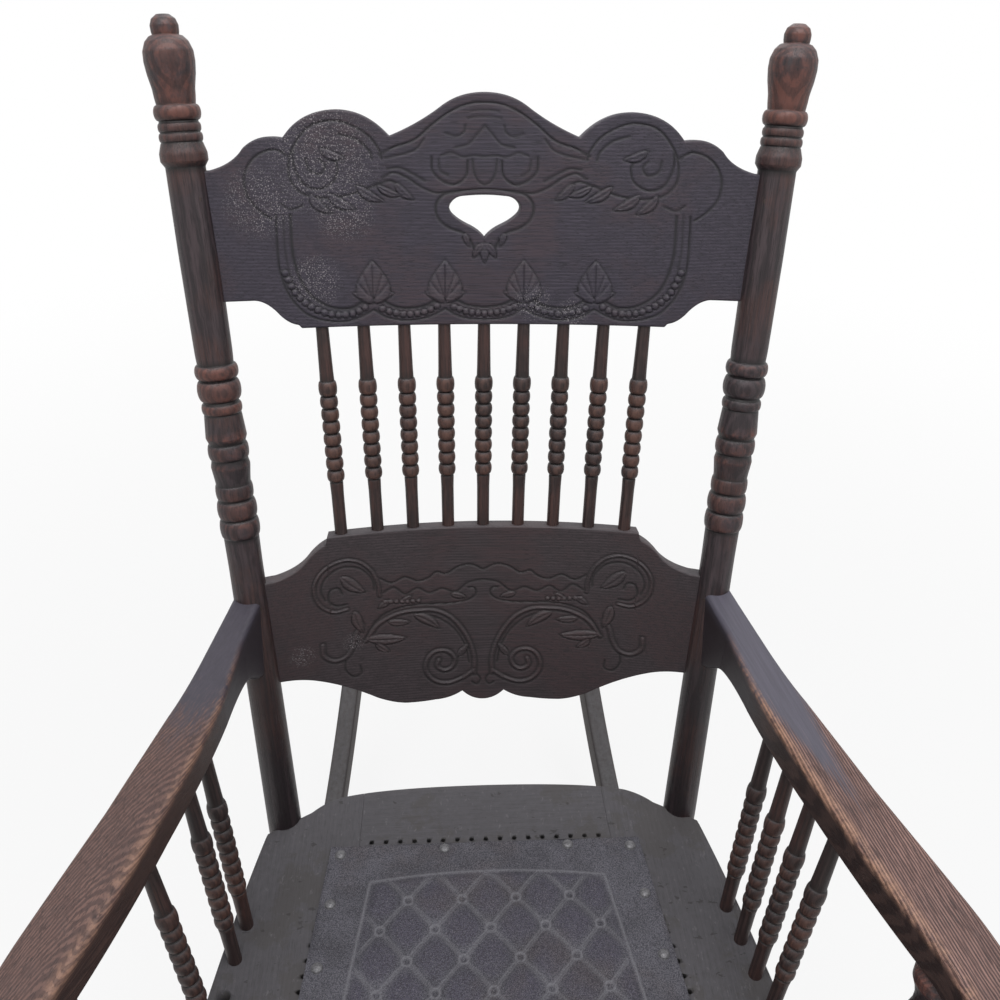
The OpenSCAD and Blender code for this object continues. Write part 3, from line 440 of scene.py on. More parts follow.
def cut_away(piece: Piece, cutter: Piece) -> None:
    """Takes the cutter's solid out of a piece, and the cutter out of the scene."""
    tool = piece.modifiers.new("cut", "BOOLEAN")
    tool.operation = "DIFFERENCE"
    tool.solver = "EXACT"
    tool.object = cutter
    graph = bpy.context.evaluated_depsgraph_get()
    graph.update()
    mesh = bpy.data.meshes.new_from_object(piece.evaluated_get(graph), preserve_all_data_layers=True,
                                           depsgraph=graph)
    piece.modifiers.clear()
    old, piece.data = piece.data, mesh
    mesh.name = piece.name
    bpy.data.meshes.remove(old)
    bpy.data.objects.remove(cutter)


def points_of(piece: Piece) -> Array:
    """A piece's points in millimetres."""
    co = np.zeros(len(piece.data.vertices) * 3, np.float32)
    piece.data.vertices.foreach_get("co", co)
    return co.reshape(-1, 3).astype(float) / MM


# Turned work

@dataclass(frozen=True)
class Profile:
    """A turned outline: distance along the axis, radius, and the marks on it."""

    along: Array
    radius: Array
    wear: Array
    hollow: Array


def turned_profile(rows: Rows, length: float, diameter: float, low: tuple[float, float] | None = None,
                   high: tuple[float, float] | None = None) -> Profile:
    """The outline of a turning, softened by use.

    A row (from, to, edge, greatest) is a bead: its diameter rises from the edge's to the greatest
    as the square root of one less the square of the way from its middle. A row (place, diameter)
    is one place, and the outline runs straight between rows. The wear is where the radius stands
    above its own broad average, and the hollow, where the finish paints shade, is where it lies
    below.

    Args:
        rows: shares of the length and of the diameter.
        length: length of the turning between its ends' shoulders.
        diameter: diameter that the shares follow.
        low: diameter and length of the plain end before the start, if any.
        high: the same past the end.

    Returns:
        The outline, with its points closer where it turns faster.
    """
    fine, worn_round, broad = 0.25, 0.3, 2.2
    angle_step, way_step = 0.2, 7.0
    wear_rise, hollow_fall = 0.4, 0.35
    t = np.linspace(-1, 1, 25)
    parts = [] if low is None else [np.array([[-low[1], low[0] / 2], [0, low[0] / 2]])]
    for row in rows:
        if len(row) == 2:
            parts.append(np.array([[row[0] * length, row[1] * diameter / 2]]))
            continue
        start, end, edge, crest = row
        radius = (edge + (crest - edge) * np.sqrt(1 - t * t)) * diameter / 2
        parts.append(np.column_stack(((start + (end - start) * (t + 1) / 2) * length, radius)))
    if high is not None:
        parts.append(np.array([[length, high[0] / 2], [length + high[1], high[0] / 2]]))
    curve = resample(np.vstack(parts), fine)
    along, radius = (soften(curve[:, k], worn_round / fine) for k in range(2))
    relief = radius - soften(radius, broad / fine)
    angle = np.unwrap(np.arctan2(np.gradient(radius), np.gradient(along)))
    effort = np.cumsum(np.abs(np.gradient(angle)) / angle_step + fine / way_step)
    at = np.interp(np.linspace(effort[0], effort[-1], int(effort[-1]) + 2), effort, np.arange(len(effort)))
    index = np.arange(len(effort))
    wear, hollow = np.clip(relief / wear_rise, 0, 1), np.clip(-relief / hollow_fall, 0, 1)
    return Profile(*(np.interp(at, index, v) for v in (along, radius, wear, hollow)))


def moved_rows(rows: Rows, start: float, size: float, whole: float) -> list[tuple[float, ...]]:
    """Rows of a part of a turning, with their places as shares of the whole turning.

    Args:
        rows: rows whose places are shares of the part.
        start: where the part starts.
        size: length of the part.
        whole: length of the whole turning.

    Returns:
        The rows, in their order.
    """
    moved = []
    for row in rows:
        half = len(row) // 2
        moved.append((*((start + place * size) / whole for place in row[:half]), *row[half:]))
    return moved


def swept(profile: Profile, centres: Array, tangents: Array, side: Array, sides: int) -> Surface:
    """A profile carried along a path: at each point a circle of the profile's radius, in the plane
    of a fixed side direction and of the cross product of the tangent with it."""
    theta = np.arange(sides) * 2 * math.pi / sides
    across = unit(np.cross(tangents, side))
    radius = profile.radius[:, None, None]
    circle = np.stack((np.cos(theta), np.sin(theta)), axis=-1)
    points = (centres[:, None, :] + radius * circle[None, :, 0, None] * side
              + radius * circle[None, :, 1, None] * across[:, None, :])
    grain = np.concatenate((radius * circle[None], np.broadcast_to(
        profile.along[:, None, None], (len(profile.along), sides, 1))), axis=-1)
    ring = np.ones(sides)
    return Surface(points, grain, np.outer(profile.wear, ring), np.outer(profile.hollow, ring))


def turned_piece(name: str, profile: Profile, a: Array, b: Array, sides: int = 28) -> Piece:
    """A straight turned piece whose zero lies at a and whose axis runs towards b."""
    axis = unit(b - a)
    side = unit(np.cross(axis, np.array([0, 1, 0]) if abs(axis[1]) < 0.9 else np.array([1, 0, 0])))
    centres = a + profile.along[:, None] * axis
    return loop_skin(name, swept(profile, centres, np.broadcast_to(axis, centres.shape), side, sides))


# Finishes

@dataclass(frozen=True)
class Oak:
    """Finish of dark oak: colours in linear RGB and amounts from 0 to 1."""

    dark: Colour
    pale: Colour
    worn: Colour
    dust: Colour = (0.115, 0.11, 0.12)
    wear: float = 0.6
    dusting: float = 0.25
    speckle: float = 0.0
    figure: float = 0.5
    ring_scale: float = 220.0
    wander: float = 0.03
    pores: float = 0.5
    gloss: float = 0.5
    depth: float = 0.35
    ruddy: Colour = (0.075, 0.034, 0.028)
    rub: float = 0.0
    blotch: float = 0.0
    smooth: Colour | None = None


@dataclass(frozen=True)
class Hide:
    """Finish of old pressed leather."""

    ground: Colour = (0.080, 0.078, 0.092)
    cell: Colour = (0.044, 0.040, 0.056)
    dust: Colour = (0.155, 0.152, 0.168)
    brown: Colour = (0.066, 0.053, 0.053)
    pebble: float = 900.0


@dataclass(frozen=True)
class Metal:
    """Finish of dulled steel: bright where rubbed, else worn down, with dull mottling."""

    bright: Colour = (0.85, 0.85, 0.86)
    plain: Colour = (0.14, 0.138, 0.145)
    dull: Colour = (0.075, 0.072, 0.078)
    scale: float = 700.0


def toned(colour: Colour, by: float) -> Colour:
    """A colour made darker or lighter by a factor."""
    return tuple(c * by for c in colour)


class Tree:
    """A short hand for making and joining shader nodes."""

    def __init__(self, tree: bpy.types.NodeTree) -> None:
        """Works on one node tree."""
        self.tree = tree

    def node(self, kind: str, inputs: dict | None = None, **settings: object) -> bpy.types.Node:
        """A node of a kind, with its settings and its inputs' values or sources.

        Args:
            kind: the node type's name without its ShaderNode prefix.
            inputs: values, or sockets to join, by input name or number.
            settings: attributes of the node.

        Returns:
            The node.
        """
        made = self.tree.nodes.new("ShaderNode" + kind)
        for key, value in settings.items():
            setattr(made, key, value)
        for key, value in (inputs or {}).items():
            if isinstance(value, Socket):
                self.tree.links.new(value, made.inputs[key])
            else:
                made.inputs[key].default_value = value
        return made

    def join(self, value: Socket, node: bpy.types.Node, label: str) -> None:
        """Joins a value to the input of a node."""
        self.tree.links.new(value, node.inputs[label])

    def bump(self, shader: bpy.types.Node, height: Socket, strength: float, distance: float) -> None:
        """Gives a shader the small relief of a height; the distance is in metres."""
        made = self.node("Bump", {"Height": height, "Strength": strength, "Distance": distance})
        self.join(made.outputs[0], shader, "Normal")

    def place(self) -> Socket:
        """The place in the piece's own frame, in metres."""
        return self.node("TexCoord").outputs["Object"]

    def cells(self, vector: Socket, scale: float) -> Socket:
        """Distance to the nearest seed of a cell texture."""
        return self.node("TexVoronoi", {"Vector": vector, "Scale": scale}, feature="F1").outputs["Distance"]

    def mark(self, name: str) -> Socket:
        """What the mesh's points carry under a name, as a value."""
        return self.node("Attribute", attribute_name=name).outputs["Fac"]

    def math(self, operation: str, a: object, b: object = 0.0, clamp: bool = False) -> Socket:
        """The output of a Math node."""
        return self.node("Math", {0: a, 1: b}, operation=operation, use_clamp=clamp).outputs[0]

    def times(self, a: object, b: object, clamp: bool = False) -> Socket:
        """The product of two values."""
        return self.math("MULTIPLY", a, b, clamp)

    def plus(self, a: object, b: object) -> Socket:
        """The sum of two values."""
        return self.math("ADD", a, b)

    def minus(self, a: object, b: object, clamp: bool = False) -> Socket:
        """The first value less the second."""
        return self.math("SUBTRACT", a, b, clamp)

    def blend(self, share: object, a: object, b: object) -> Socket:
        """The colour output of a Mix node between two colours, given or worked out."""
        a, b = ((*colour, 1.0) if isinstance(colour, tuple) else colour for colour in (a, b))
        return self.node("Mix", {0: share, 6: a, 7: b}, data_type="RGBA", blend_type="MIX",
                         clamp_factor=True).outputs[2]

    def ramp(self, value: Socket, low: float, high: float, a: float = 0.0, b: float = 1.0) -> Socket:
        """A smooth step from a below low to b above high."""
        return self.node("MapRange", {"Value": value, "From Min": low, "From Max": high, "To Min": a,
                                      "To Max": b}, interpolation_type="SMOOTHSTEP").outputs[0]

    def noise(self, vector: Socket, scale: float, detail: float = 3.0, rough: float = 0.55) -> Socket:
        """The value of a noise texture."""
        return self.node("TexNoise", {"Vector": vector, "Scale": scale, "Detail": detail,
                                      "Roughness": rough}).outputs[0]

    def stretch(self, vector: Socket, by: Place) -> Socket:
        """A vector multiplied part by part."""
        return self.node("VectorMath", {0: vector, 1: by}, operation="MULTIPLY").outputs[0]


class Effects:
    """The shader groups that several finishes share."""

    def __init__(self) -> None:
        """Builds each group once."""
        self.grain = self.make_grain()
        self.surface = self.make_surface()

    @staticmethod
    def start(name: str, inputs: Sequence[tuple[str, str, float]], outputs: Sequence[str]) -> tuple[
            bpy.types.NodeTree, Tree, bpy.types.Node, bpy.types.Node]:
        """An empty group with its sockets.

        Args:
            name: the group's name.
            inputs: name, socket kind and first value of each input.
            outputs: names of the outputs, all numbers.

        Returns:
            The group, its tree's short hand, and its input and output nodes.
        """
        group = bpy.data.node_groups.new(name, "ShaderNodeTree")
        for label, kind, value in inputs:
            socket = group.interface.new_socket(label, in_out="INPUT", socket_type="NodeSocket" + kind)
            if kind == "Float":
                socket.default_value = value
        for label in outputs:
            group.interface.new_socket(label, in_out="OUTPUT", socket_type="NodeSocketFloat")
        return group, Tree(group), group.nodes.new("NodeGroupInput"), group.nodes.new("NodeGroupOutput")

    def make_grain(self) -> bpy.types.NodeTree:
        """Grain of oak: growth rings about a wandering heart, streaks and open pores."""
        group, t, given, out = self.start(
            "oak_grain", [("Place", "Vector", 0), ("Rings", "Float", 220.0), ("Wander", "Float", 0.03)],
            ["Figure", "Streak", "Pores"])
        place = given.outputs["Place"]
        wander = t.noise(t.stretch(place, (9.0, 9.0, 2.2)), 1.0, 2.0)
        parts = t.node("SeparateXYZ", {0: place})
        x = t.plus(parts.outputs[0], t.times(t.minus(wander, 0.5), given.outputs["Wander"]))
        y = t.plus(parts.outputs[1], 0.021)
        jag = t.times(t.noise(t.stretch(place, (150.0, 150.0, 45.0)), 1.0, 2.0), 0.0022)
        radius = t.plus(jag, t.math("SQRT", t.plus(t.times(x, x), t.times(y, y))))
        ring = t.math("SINE", t.times(t.times(radius, given.outputs["Rings"]), 2 * math.pi))
        broken = t.ramp(t.noise(t.stretch(place, (260.0, 260.0, 22.0)), 1.0, 2.0), 0.3, 0.62, 0.45, 1.0)
        figure = t.times(t.ramp(ring, -0.7, 0.9), broken)
        streak = t.noise(t.stretch(place, (620.0, 620.0, 14.0)), 1.0, 4.0, 0.65)
        pore = t.noise(t.stretch(place, (1500.0, 1500.0, 55.0)), 1.0, 2.0, 0.6)
        t.join(figure, out, "Figure")
        t.join(streak, out, "Streak")
        t.join(t.ramp(pore, 0.53, 0.64), out, "Pores")
        return group

    def make_surface(self) -> bpy.types.NodeTree:
        """Wear and dust: rubbed crests, and dust on what faces up but not in creases, broken by noise."""
        group, t, given, out = self.start(
            "wear_and_dust", [("Wear", "Float", 0.5), ("Dusting", "Float", 0.3)],
            ["Worn", "Dusty", "Patch", "Specks"])
        place = t.place()
        patch = t.noise(place, 14.0, 5.0, 0.6)
        fine = t.noise(place, 160.0, 4.0, 0.7)
        crest = t.mark("wear")
        crease = t.mark("hollow")
        broken = t.ramp(t.plus(patch, t.times(fine, 0.8)), 0.72, 1.05)
        worn = t.times(t.times(crest, broken), given.outputs["Wear"], clamp=True)
        up = t.node("SeparateXYZ", {0: t.node("NewGeometry").outputs["Normal"]}).outputs[2]
        lying = t.times(t.ramp(up, 0.25, 0.95), t.ramp(fine, 0.25, 0.75, 0.45, 1.0))
        settled = t.times(t.times(lying, t.minus(1.0, crease, True)), given.outputs["Dusting"], clamp=True)
        speck = t.cells(place, 800.0)
        zone = t.mark("speck")
        grit = t.noise(place, 1100.0, 1.0, 0.5)
        specks = t.times(t.ramp(grit, 0.5, 0.62), t.ramp(speck, 0.62, 0.3))
        t.join(worn, out, "Worn")
        t.join(settled, out, "Dusty")
        t.join(patch, out, "Patch")
        t.join(t.times(specks, zone, clamp=True), out, "Specks")
        return group


class Workshop:
    """Makes the materials, each by name once."""

    def __init__(self) -> None:
        """Starts with the shared groups."""
        self.effects = Effects()

    @staticmethod
    def blank(name: str) -> tuple[Material, Tree, bpy.types.Node]:
        """A material with its tree's short hand and its Principled shader."""
        made = bpy.data.materials.new(name)
        made.use_nodes = True
        return made, Tree(made.node_tree), made.node_tree.nodes["Principled BSDF"]

    def oak(self, name: str, finish: Oak) -> Material:
        """Dark oak: rings and streaks between two browns, dark pores, worn crests, dust above, and
        painted shade where the hollow mark is set.
        """
        made, t, shader = self.blank(name)
        place = t.node("Attribute", attribute_name="grain").outputs["Vector"]
        grain = t.node("Group", {"Place": place, "Rings": finish.ring_scale, "Wander": finish.wander},
                       node_tree=self.effects.grain)
        cover = t.node("Group", {"Wear": finish.wear, "Dusting": finish.dusting},
                       node_tree=self.effects.surface)
        figure, streak, pores = (grain.outputs[name] for name in ("Figure", "Streak", "Pores"))
        worn, dusty, patch, specks = (cover.outputs[name] for name in ("Worn", "Dusty", "Patch", "Specks"))
        tone = t.plus(t.times(figure, finish.figure), t.times(streak, 1.0 - finish.figure * 0.5))
        body = t.blend(t.ramp(tone, 0.25, 0.95), finish.dark, finish.pale)
        body = t.blend(t.ramp(patch, 0.35, 0.7, 0.0, 0.45), body, finish.dark)
        rubbed = t.times(t.ramp(patch, 0.44, 0.6), t.ramp(streak, 0.38, 0.6, 0.25, 1.0))
        body = t.blend(t.times(rubbed, finish.rub), body, finish.ruddy)
        pores = t.times(pores, finish.pores)
        # The arms' smooth zone with closed grain; its colour is partly a painted reflection, lighter on the
        # right arm.
        if finish.smooth is not None:
            opened = t.ramp(t.plus(t.mark("speck"), t.times(t.minus(streak, 0.5), 1.3)), 0.15, 0.75)
            closed = t.blend(t.ramp(streak, 0.35, 0.7), finish.smooth, toned(finish.smooth, 1.35))
            body = t.blend(opened, closed, body)
            pores = t.times(pores, opened)
        body = t.blend(pores, body, toned(finish.dark, 0.35))
        # Painted shade where the hollow mark is set: creases, grooves, flanks of relief, the arms' sides,
        # under the seat's rim and in its cane holes; the back posts' lower shafts are darkened the same
        # way.
        body = t.blend(t.times(t.mark("hollow"), 0.9), body, toned(finish.dark, 0.22))
        body = t.blend(t.times(worn, t.ramp(figure, 0.1, 0.6, 0.45, 1.0)), body, finish.worn)
        body = t.blend(dusty, body, finish.dust)
        if finish.blotch > 0:
            body = self.blotched(t, body, finish.blotch)
        body = t.blend(t.times(specks, finish.speckle), body, (0.24, 0.22, 0.23))
        t.join(body, shader, "Base Color")
        rough = t.plus(t.times(streak, 0.18), t.plus(t.times(dusty, 0.35), 0.72 - 0.45 * finish.gloss))
        t.join(rough, shader, "Roughness")
        shader.inputs["Specular IOR Level"].default_value = 0.35
        height = t.minus(t.times(streak, 0.5), t.times(pores, 0.8))
        t.bump(shader, height, finish.depth, 0.0006)
        return made

    @staticmethod
    def blotched(t: Tree, body: Socket, amount: float) -> Socket:
        """Old spills and knocks: wide brownish stains with a hard edge, small dark marks, pale scuffs.

        Args:
            t: the material's tree.
            body: the colour below the stains.
            amount: how strongly the stains cover it.

        Returns:
            The stained colour.
        """
        place = t.place()
        wide = t.noise(place, 13.0, 6.0, 0.68)
        small = t.noise(t.stretch(place, (1.0, 1.7, 1.0)), 70.0, 3.0, 0.6)
        scuff = t.noise(t.stretch(place, (1.0, 0.45, 1.0)), 210.0, 5.0, 0.75)
        body = t.blend(t.times(t.ramp(wide, 0.50, 0.56), 0.55 * amount), body, (0.050, 0.045, 0.042))
        body = t.blend(t.times(t.ramp(wide, 0.40, 0.30), 0.5 * amount), body, (0.060, 0.057, 0.064))
        body = t.blend(t.times(t.ramp(small, 0.66, 0.70), 0.8 * amount), body, (0.026, 0.024, 0.024))
        return t.blend(t.times(t.ramp(scuff, 0.58, 0.70), 0.4 * amount), body, (0.17, 0.165, 0.175))

    def hide(self, name: str, finish: Hide) -> Material:
        """Pressed leather: pebbled ground, darker cells, dusty seams and rings, and pale specks that are
        grit and painted pebble highlights.
        """
        made, t, shader = self.blank(name)
        place = t.place()
        pebble = t.cells(place, finish.pebble)
        fine = t.noise(place, 420.0, 5.0, 0.7)
        patch = t.noise(place, 26.0, 5.0, 0.6)
        cell = t.mark("wear")
        seam = t.mark("hollow")
        brown = t.ramp(t.noise(place, 11.0, 4.0, 0.6), 0.48, 0.62, 0.0, 0.6)
        body = t.blend(t.ramp(patch, 0.35, 0.65), toned(finish.ground, 0.68),
                       toned(finish.ground, 1.25))
        mottled = t.blend(t.ramp(fine, 0.35, 0.65), finish.cell, toned(finish.cell, 1.7))
        body = t.blend(t.times(cell, t.ramp(patch, 0.2, 0.6, 0.6, 1.0)), body, mottled)
        body = t.blend(brown, body, finish.brown)
        body = t.blend(t.ramp(pebble, 0.25, 0.7, 0.0, 0.75), body, toned(finish.cell, 0.4))
        dusty = t.times(seam, t.ramp(fine, 0.3, 0.6, 0.35, 0.9))
        body = t.blend(dusty, body, finish.dust)
        # Pale specks: dust grit, and painted highlights on the pebbles.
        grit = t.ramp(t.noise(place, 1300.0, 2.0, 0.6), 0.54, 0.64, 0.0, 0.62)
        body = t.blend(grit, body, finish.dust)
        t.join(body, shader, "Base Color")
        t.join(t.ramp(fine, 0.2, 0.8, 0.62, 0.86), shader, "Roughness")
        shader.inputs["Specular IOR Level"].default_value = 0.3
        height = t.plus(t.times(pebble, -1.0), t.times(fine, 0.5))
        t.bump(shader, height, 0.5, 0.0005)
        return made

    def metal(self, name: str, finish: Metal) -> Material:
        """Dulled steel: bright rubbed tops with dark mottling."""
        made, t, shader = self.blank(name)
        place = t.place()
        mottle = t.noise(place, finish.scale, 4.0, 0.65)
        rubbed = t.mark("wear")
        top = t.blend(rubbed, finish.plain, finish.bright)
        low = t.blend(rubbed, finish.dull, toned(finish.bright, 0.35))
        t.join(t.blend(t.ramp(mottle, 0.38, 0.6), low, top), shader, "Base Color")
        shader.inputs["Metallic"].default_value = 0.35
        t.join(t.ramp(mottle, 0.3, 0.7, 0.62, 0.36), shader, "Roughness")
        t.bump(shader, mottle, 0.3, 0.0003)
        return made


def dress(piece: Piece, finish: Material, slot: str, *nodes: str) -> None:
    """Gives a new piece its finish and its body, and hides the nodes that it stands for."""
    piece.data.materials.clear()
    piece.data.materials.append(finish)
    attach(piece, BODY)
    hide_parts(*nodes)
    LOG.info("%s: %d points for %s", piece.name, len(piece.data.vertices), ", ".join(nodes))


@dataclass
class Turning:
    """A kind of straight turned piece: its rows, its plain ends, its finish and its slot."""

    rows: Rows
    diameter: float
    low: tuple[float, float]
    high: tuple[float, float]
    sides: int
    finish: Material
    slot: str

    def make(self, node: str, a: Array, b: Array, shoulder: float = 0.0) -> None:
        """Turns and dresses the piece that stands for a node.

        Args:
            node: the node's name.
            a: the place that it starts from.
            b: the place that it runs to.
            shoulder: how far inside both places its rows start and end.
        """
        profile = turned_profile(self.rows, span(a, b) - 2 * shoulder, self.diameter, self.low, self.high)
        piece = turned_piece(node + "_turned", profile, a + unit(b - a) * shoulder, b, self.sides)
        dress(piece, self.finish, self.slot, node)


# Back posts

POST_ROWS: Rows = (
    (0, 1.01), (0.385, 0.93), (0.424, 0.447, 0.95, 1.07), (0.448, 0.472, 0.90, 1.06),
    (0.474, 0.492, 0.92, 1.0), (0.497, 0.93), (0.515, 1.03), (0.521, 0.97), (0.524, 0.543, 0.95, 1.07),
    (0.545, 0.97), (0.551, 1.07), (0.578, 0.97), (0.580, 0.592, 0.94, 1.04), (0.595, 0.620, 0.90, 1.12),
    (0.621, 0.638, 0.92, 1.11), (0.650, 0.95), (0.760, 0.97), (0.852, 0.94), (0.858, 1.12), (0.866, 1.12),
    (0.876, 0.98), (0.877, 0.886, 0.94, 1.02), (0.887, 0.896, 0.92, 1.0), (0.898, 0.914, 0.90, 1.09),
    (0.919, 0.94), (0.930, 0.98), (0.943, 1.10), (0.955, 1.16), (0.965, 1.14), (0.974, 0.98), (0.979, 0.76),
    (0.980, 0.60), (0.983, 0.63), (0.989, 0.64), (0.995, 0.54), (0.999, 0.30))
REAR_LEG_ROWS: Rows = (
    (0.04, 0.66), (0.10, 0.90), (0.12, 0.16, 0.88, 1.12), (0.18, 0.95), (0.30, 1.12), (0.66, 1.14),
    (0.70, 0.74, 0.98, 1.16), (0.75, 0.79, 0.98, 1.16), (0.82, 0.98), (1, 1.01))


@dataclass
class BackPost:
    """One back post: leg, bend in the seat, shaft, beads and finial in one piece."""

    side: Side
    end_d: float = 16.0
    bend_reach: float = 13.0
    sides: int = 44
    ring_shares: tuple[float, ...] = (0.84, 0.855, 0.91, 0.925)
    bulb_shares: tuple[float, ...] = (0.915, 0.94)
    low_shaft_dark_shares: tuple[float, ...] = (0.0, 0.02, 0.15, 0.42)
    ring_less: float = 0.75
    bulb_wear: float = 0.6
    low_shaft_dark: float = 0.5

    def profile(self, leg: float) -> Profile:
        """The whole turning: the leg's rows, then the upper rows past the elbow."""
        upper = CHAIR.post_len
        whole = leg + CHAIR.elbow_drop + upper
        rows = (*moved_rows(REAR_LEG_ROWS, 0, leg, whole),
                *moved_rows(POST_ROWS, leg + CHAIR.elbow_drop, upper, whole))
        return turned_profile(rows, whole, CHAIR.post_d, low=(self.end_d, CHAIR.runner_in))

    def build(self, finish: Material) -> None:
        """Carries the turning along the leg, round a short quadratic bend and up the shaft. The thin
        rings under the finial are less worn, its bulb is worn all round, and the shaft's foot is darker."""
        foot, elbow, top = (self.side.of(p) for p in (CHAIR.rear_foot, CHAIR.elbow, CHAIR.finial))
        leg = span(foot, elbow)
        down, up = unit(elbow - foot), unit(top - elbow)
        profile = self.profile(leg)
        past = (profile.along - leg)[:, None]
        t = np.clip(past / (2 * self.bend_reach) + 0.5, 0, 1)
        curve = elbow + self.bend_reach * (t ** 2 * up - (1 - t) ** 2 * down)
        before, after = np.minimum(past + self.bend_reach, 0), np.maximum(past - self.bend_reach, 0)
        centres = curve + before * down + after * up
        tangents = unit((1 - t) * down + t * up)
        share = past[:, 0] / CHAIR.post_len
        rings, low = self.ring_shares, self.low_shaft_dark_shares
        wear = profile.wear * (1 - self.ring_less * fade(share, *rings[:2]) * (1 - fade(share, *rings[2:])))
        wear = np.maximum(wear, self.bulb_wear * fade(share, *self.bulb_shares))
        # The lower shaft is darker, from its foot up to about two fifths of the post, through the hollow
        # mark.
        low_shaft_dark = self.low_shaft_dark * fade(share, *low[:2]) * (1 - fade(share, *low[2:]))
        profile = Profile(profile.along, profile.radius, wear, np.maximum(profile.hollow, low_shaft_dark))
        side = unit(np.cross(down, up))
        name = self.side.tag + "_back_post"
        dress(loop_skin(name + "_turned", swept(profile, centres, tangents, side, self.sides)),
              finish, "back_posts", name)


# Pressed boards

class Cut(Enum):
    """How a line stands in a pressed board."""

    GROOVE = "sunk"
    ROLL = "raised"


@dataclass(frozen=True)
class Stroke:
    """A pressed line through listed points, mirrored. Each point is given by its distance from
    the middle and its height, one after the other."""

    points: Sequence[float]
    cut: Cut = Cut.GROOVE
    width: float = 0.85
    depth: float = 0.9


# Thin grooves: the kind of cut, its width and its depth
FINE = (Cut.GROOVE, 1.0, 0.7)
FAINT = (Cut.GROOVE, 0.9, 0.6)
HAIR = (Cut.GROOVE, 0.8, 0.5)


@dataclass(frozen=True)
class Leaf:
    """A raised leaf from its base to its tip, with a groove round it and a vein, or a fan of five
    veins at a given angle in radians. A smaller bulge sets its widest place nearer to the base."""

    base: tuple[float, float]
    tip: tuple[float, float]
    half_width: float
    sway: float = 0.0
    lift: float = 1.0
    bulge: float = 0.8
    fan: float = 0.0


@dataclass(frozen=True)
class Pearls:
    """A row of small domes along a curve, given as a stroke's points are."""

    points: Sequence[float]
    radius: float = 2.5
    pitch: float = 5.5


@dataclass(frozen=True)
class Ornament:
    """The pressed ornament of one board, the same on both sides of the middle."""

    strokes: Sequence[Stroke]
    leaves: Sequence[Leaf]
    pearls: Sequence[Pearls]
    bank_share: float = 0.6
    bank_way_share: float = 2.3
    pearl_h: float = 1.1
    pearl_bed: float = 0.5
    pearl_bed_share: float = 1.45
    vein_w: float = 0.75
    vein_share: float = 0.8
    rim_w: float = 0.65
    rim_depth: float = 0.6

    def height(self, x: Array, s: Array) -> Array:
        """Height of the pressed relief above the flat board, in millimetres.

        A groove is a bell curve of the distance to its line, a roll a bell curve upwards with a
        shallower groove on both sides. A leaf is a lens: the root of one less the square of the
        way from its spine to its edge, which swells as a power of a sine along the spine. A pearl
        is a dome, the root of one less the square of the way from its middle.
        """
        places = np.column_stack((np.abs(x), s))
        sunk, raised = np.zeros(len(places)), np.zeros(len(places))
        for stroke in self.strokes:
            gap = nearest(places, flowing(stroke.points), 4 * stroke.width)
            if stroke.cut is Cut.GROOVE:
                sunk = np.maximum(sunk, stroke.depth * np.exp(-(gap / stroke.width) ** 2))
            else:
                raised = np.maximum(raised, stroke.depth * np.exp(-(gap / stroke.width) ** 2))
                bank = (gap - self.bank_way_share * stroke.width) / stroke.width
                sunk = np.maximum(sunk, self.bank_share * stroke.depth * np.exp(-bank ** 2))
        for leaf in self.leaves:
            sunk, raised = self.add_leaf(places, leaf, sunk, raised)
        for row in self.pearls:
            gap = nearest(places, resample(flowing(row.points), row.pitch), 1.5 * row.radius)
            dome = self.pearl_h * np.sqrt(np.clip(1 - (gap / row.radius) ** 2, 0, 1))
            raised = np.maximum(raised, dome)
            bed = self.pearl_bed * (gap < self.pearl_bed_share * row.radius)
            sunk = np.where(dome > 0, 0, np.maximum(sunk, bed))
        return raised - sunk

    def add_leaf(self, places: Array, leaf: Leaf, sunk: Array, raised: Array) -> tuple[Array, Array]:
        """Lays one leaf over what is sunk and raised so far."""
        base, spine = np.array(leaf.base), np.array(leaf.tip) - np.array(leaf.base)
        length = span(base, np.array(leaf.tip))
        way = (places - base) @ spine / length ** 2
        off = (places - base) @ np.array([-spine[1], spine[0]]) / length
        inside = np.clip(way, 0, 1)
        off = off - leaf.sway * 4 * inside * (1 - inside)
        edge = leaf.half_width * np.sin(math.pi * inside ** leaf.bulge) ** 0.85
        past = np.maximum(np.maximum(-way, way - 1), 0) * length
        gap = np.hypot(np.maximum(np.abs(off) - edge, 0), past)
        rise = np.clip(1 - (np.abs(off) / np.maximum(edge, 0.1)) ** 2, 0, 1)
        lens = leaf.lift * np.sqrt(rise) * (gap <= 0)
        for angle in (leaf.fan * k for k in range(-2, 3)) if leaf.fan else (0.0,):
            vein = off * math.cos(angle) - way * length * math.sin(angle)
            lens -= self.vein_share * leaf.lift * np.exp(-(vein / self.vein_w) ** 2) * (lens > 0)
        rim = self.rim_depth * np.exp(-((gap - 0.6) / self.rim_w) ** 2) * (gap > 0)
        return np.where(lens > 0, 0, np.maximum(sunk, rim)), np.maximum(raised, lens)


def palmette(x: float, s: float) -> tuple[Leaf, ...]:
    """A spade of fanned veins over two small leaves at its foot."""
    low = tuple(Leaf((x, s), (x + 16 * k, s + 7.5), 3.4, 1.0 * k, 1.2) for k in (-1, 1))
    return (*low, Leaf((x, s + 1), (x, s + 33), 13.5, 0.0, 1.3, 0.55, 0.34))


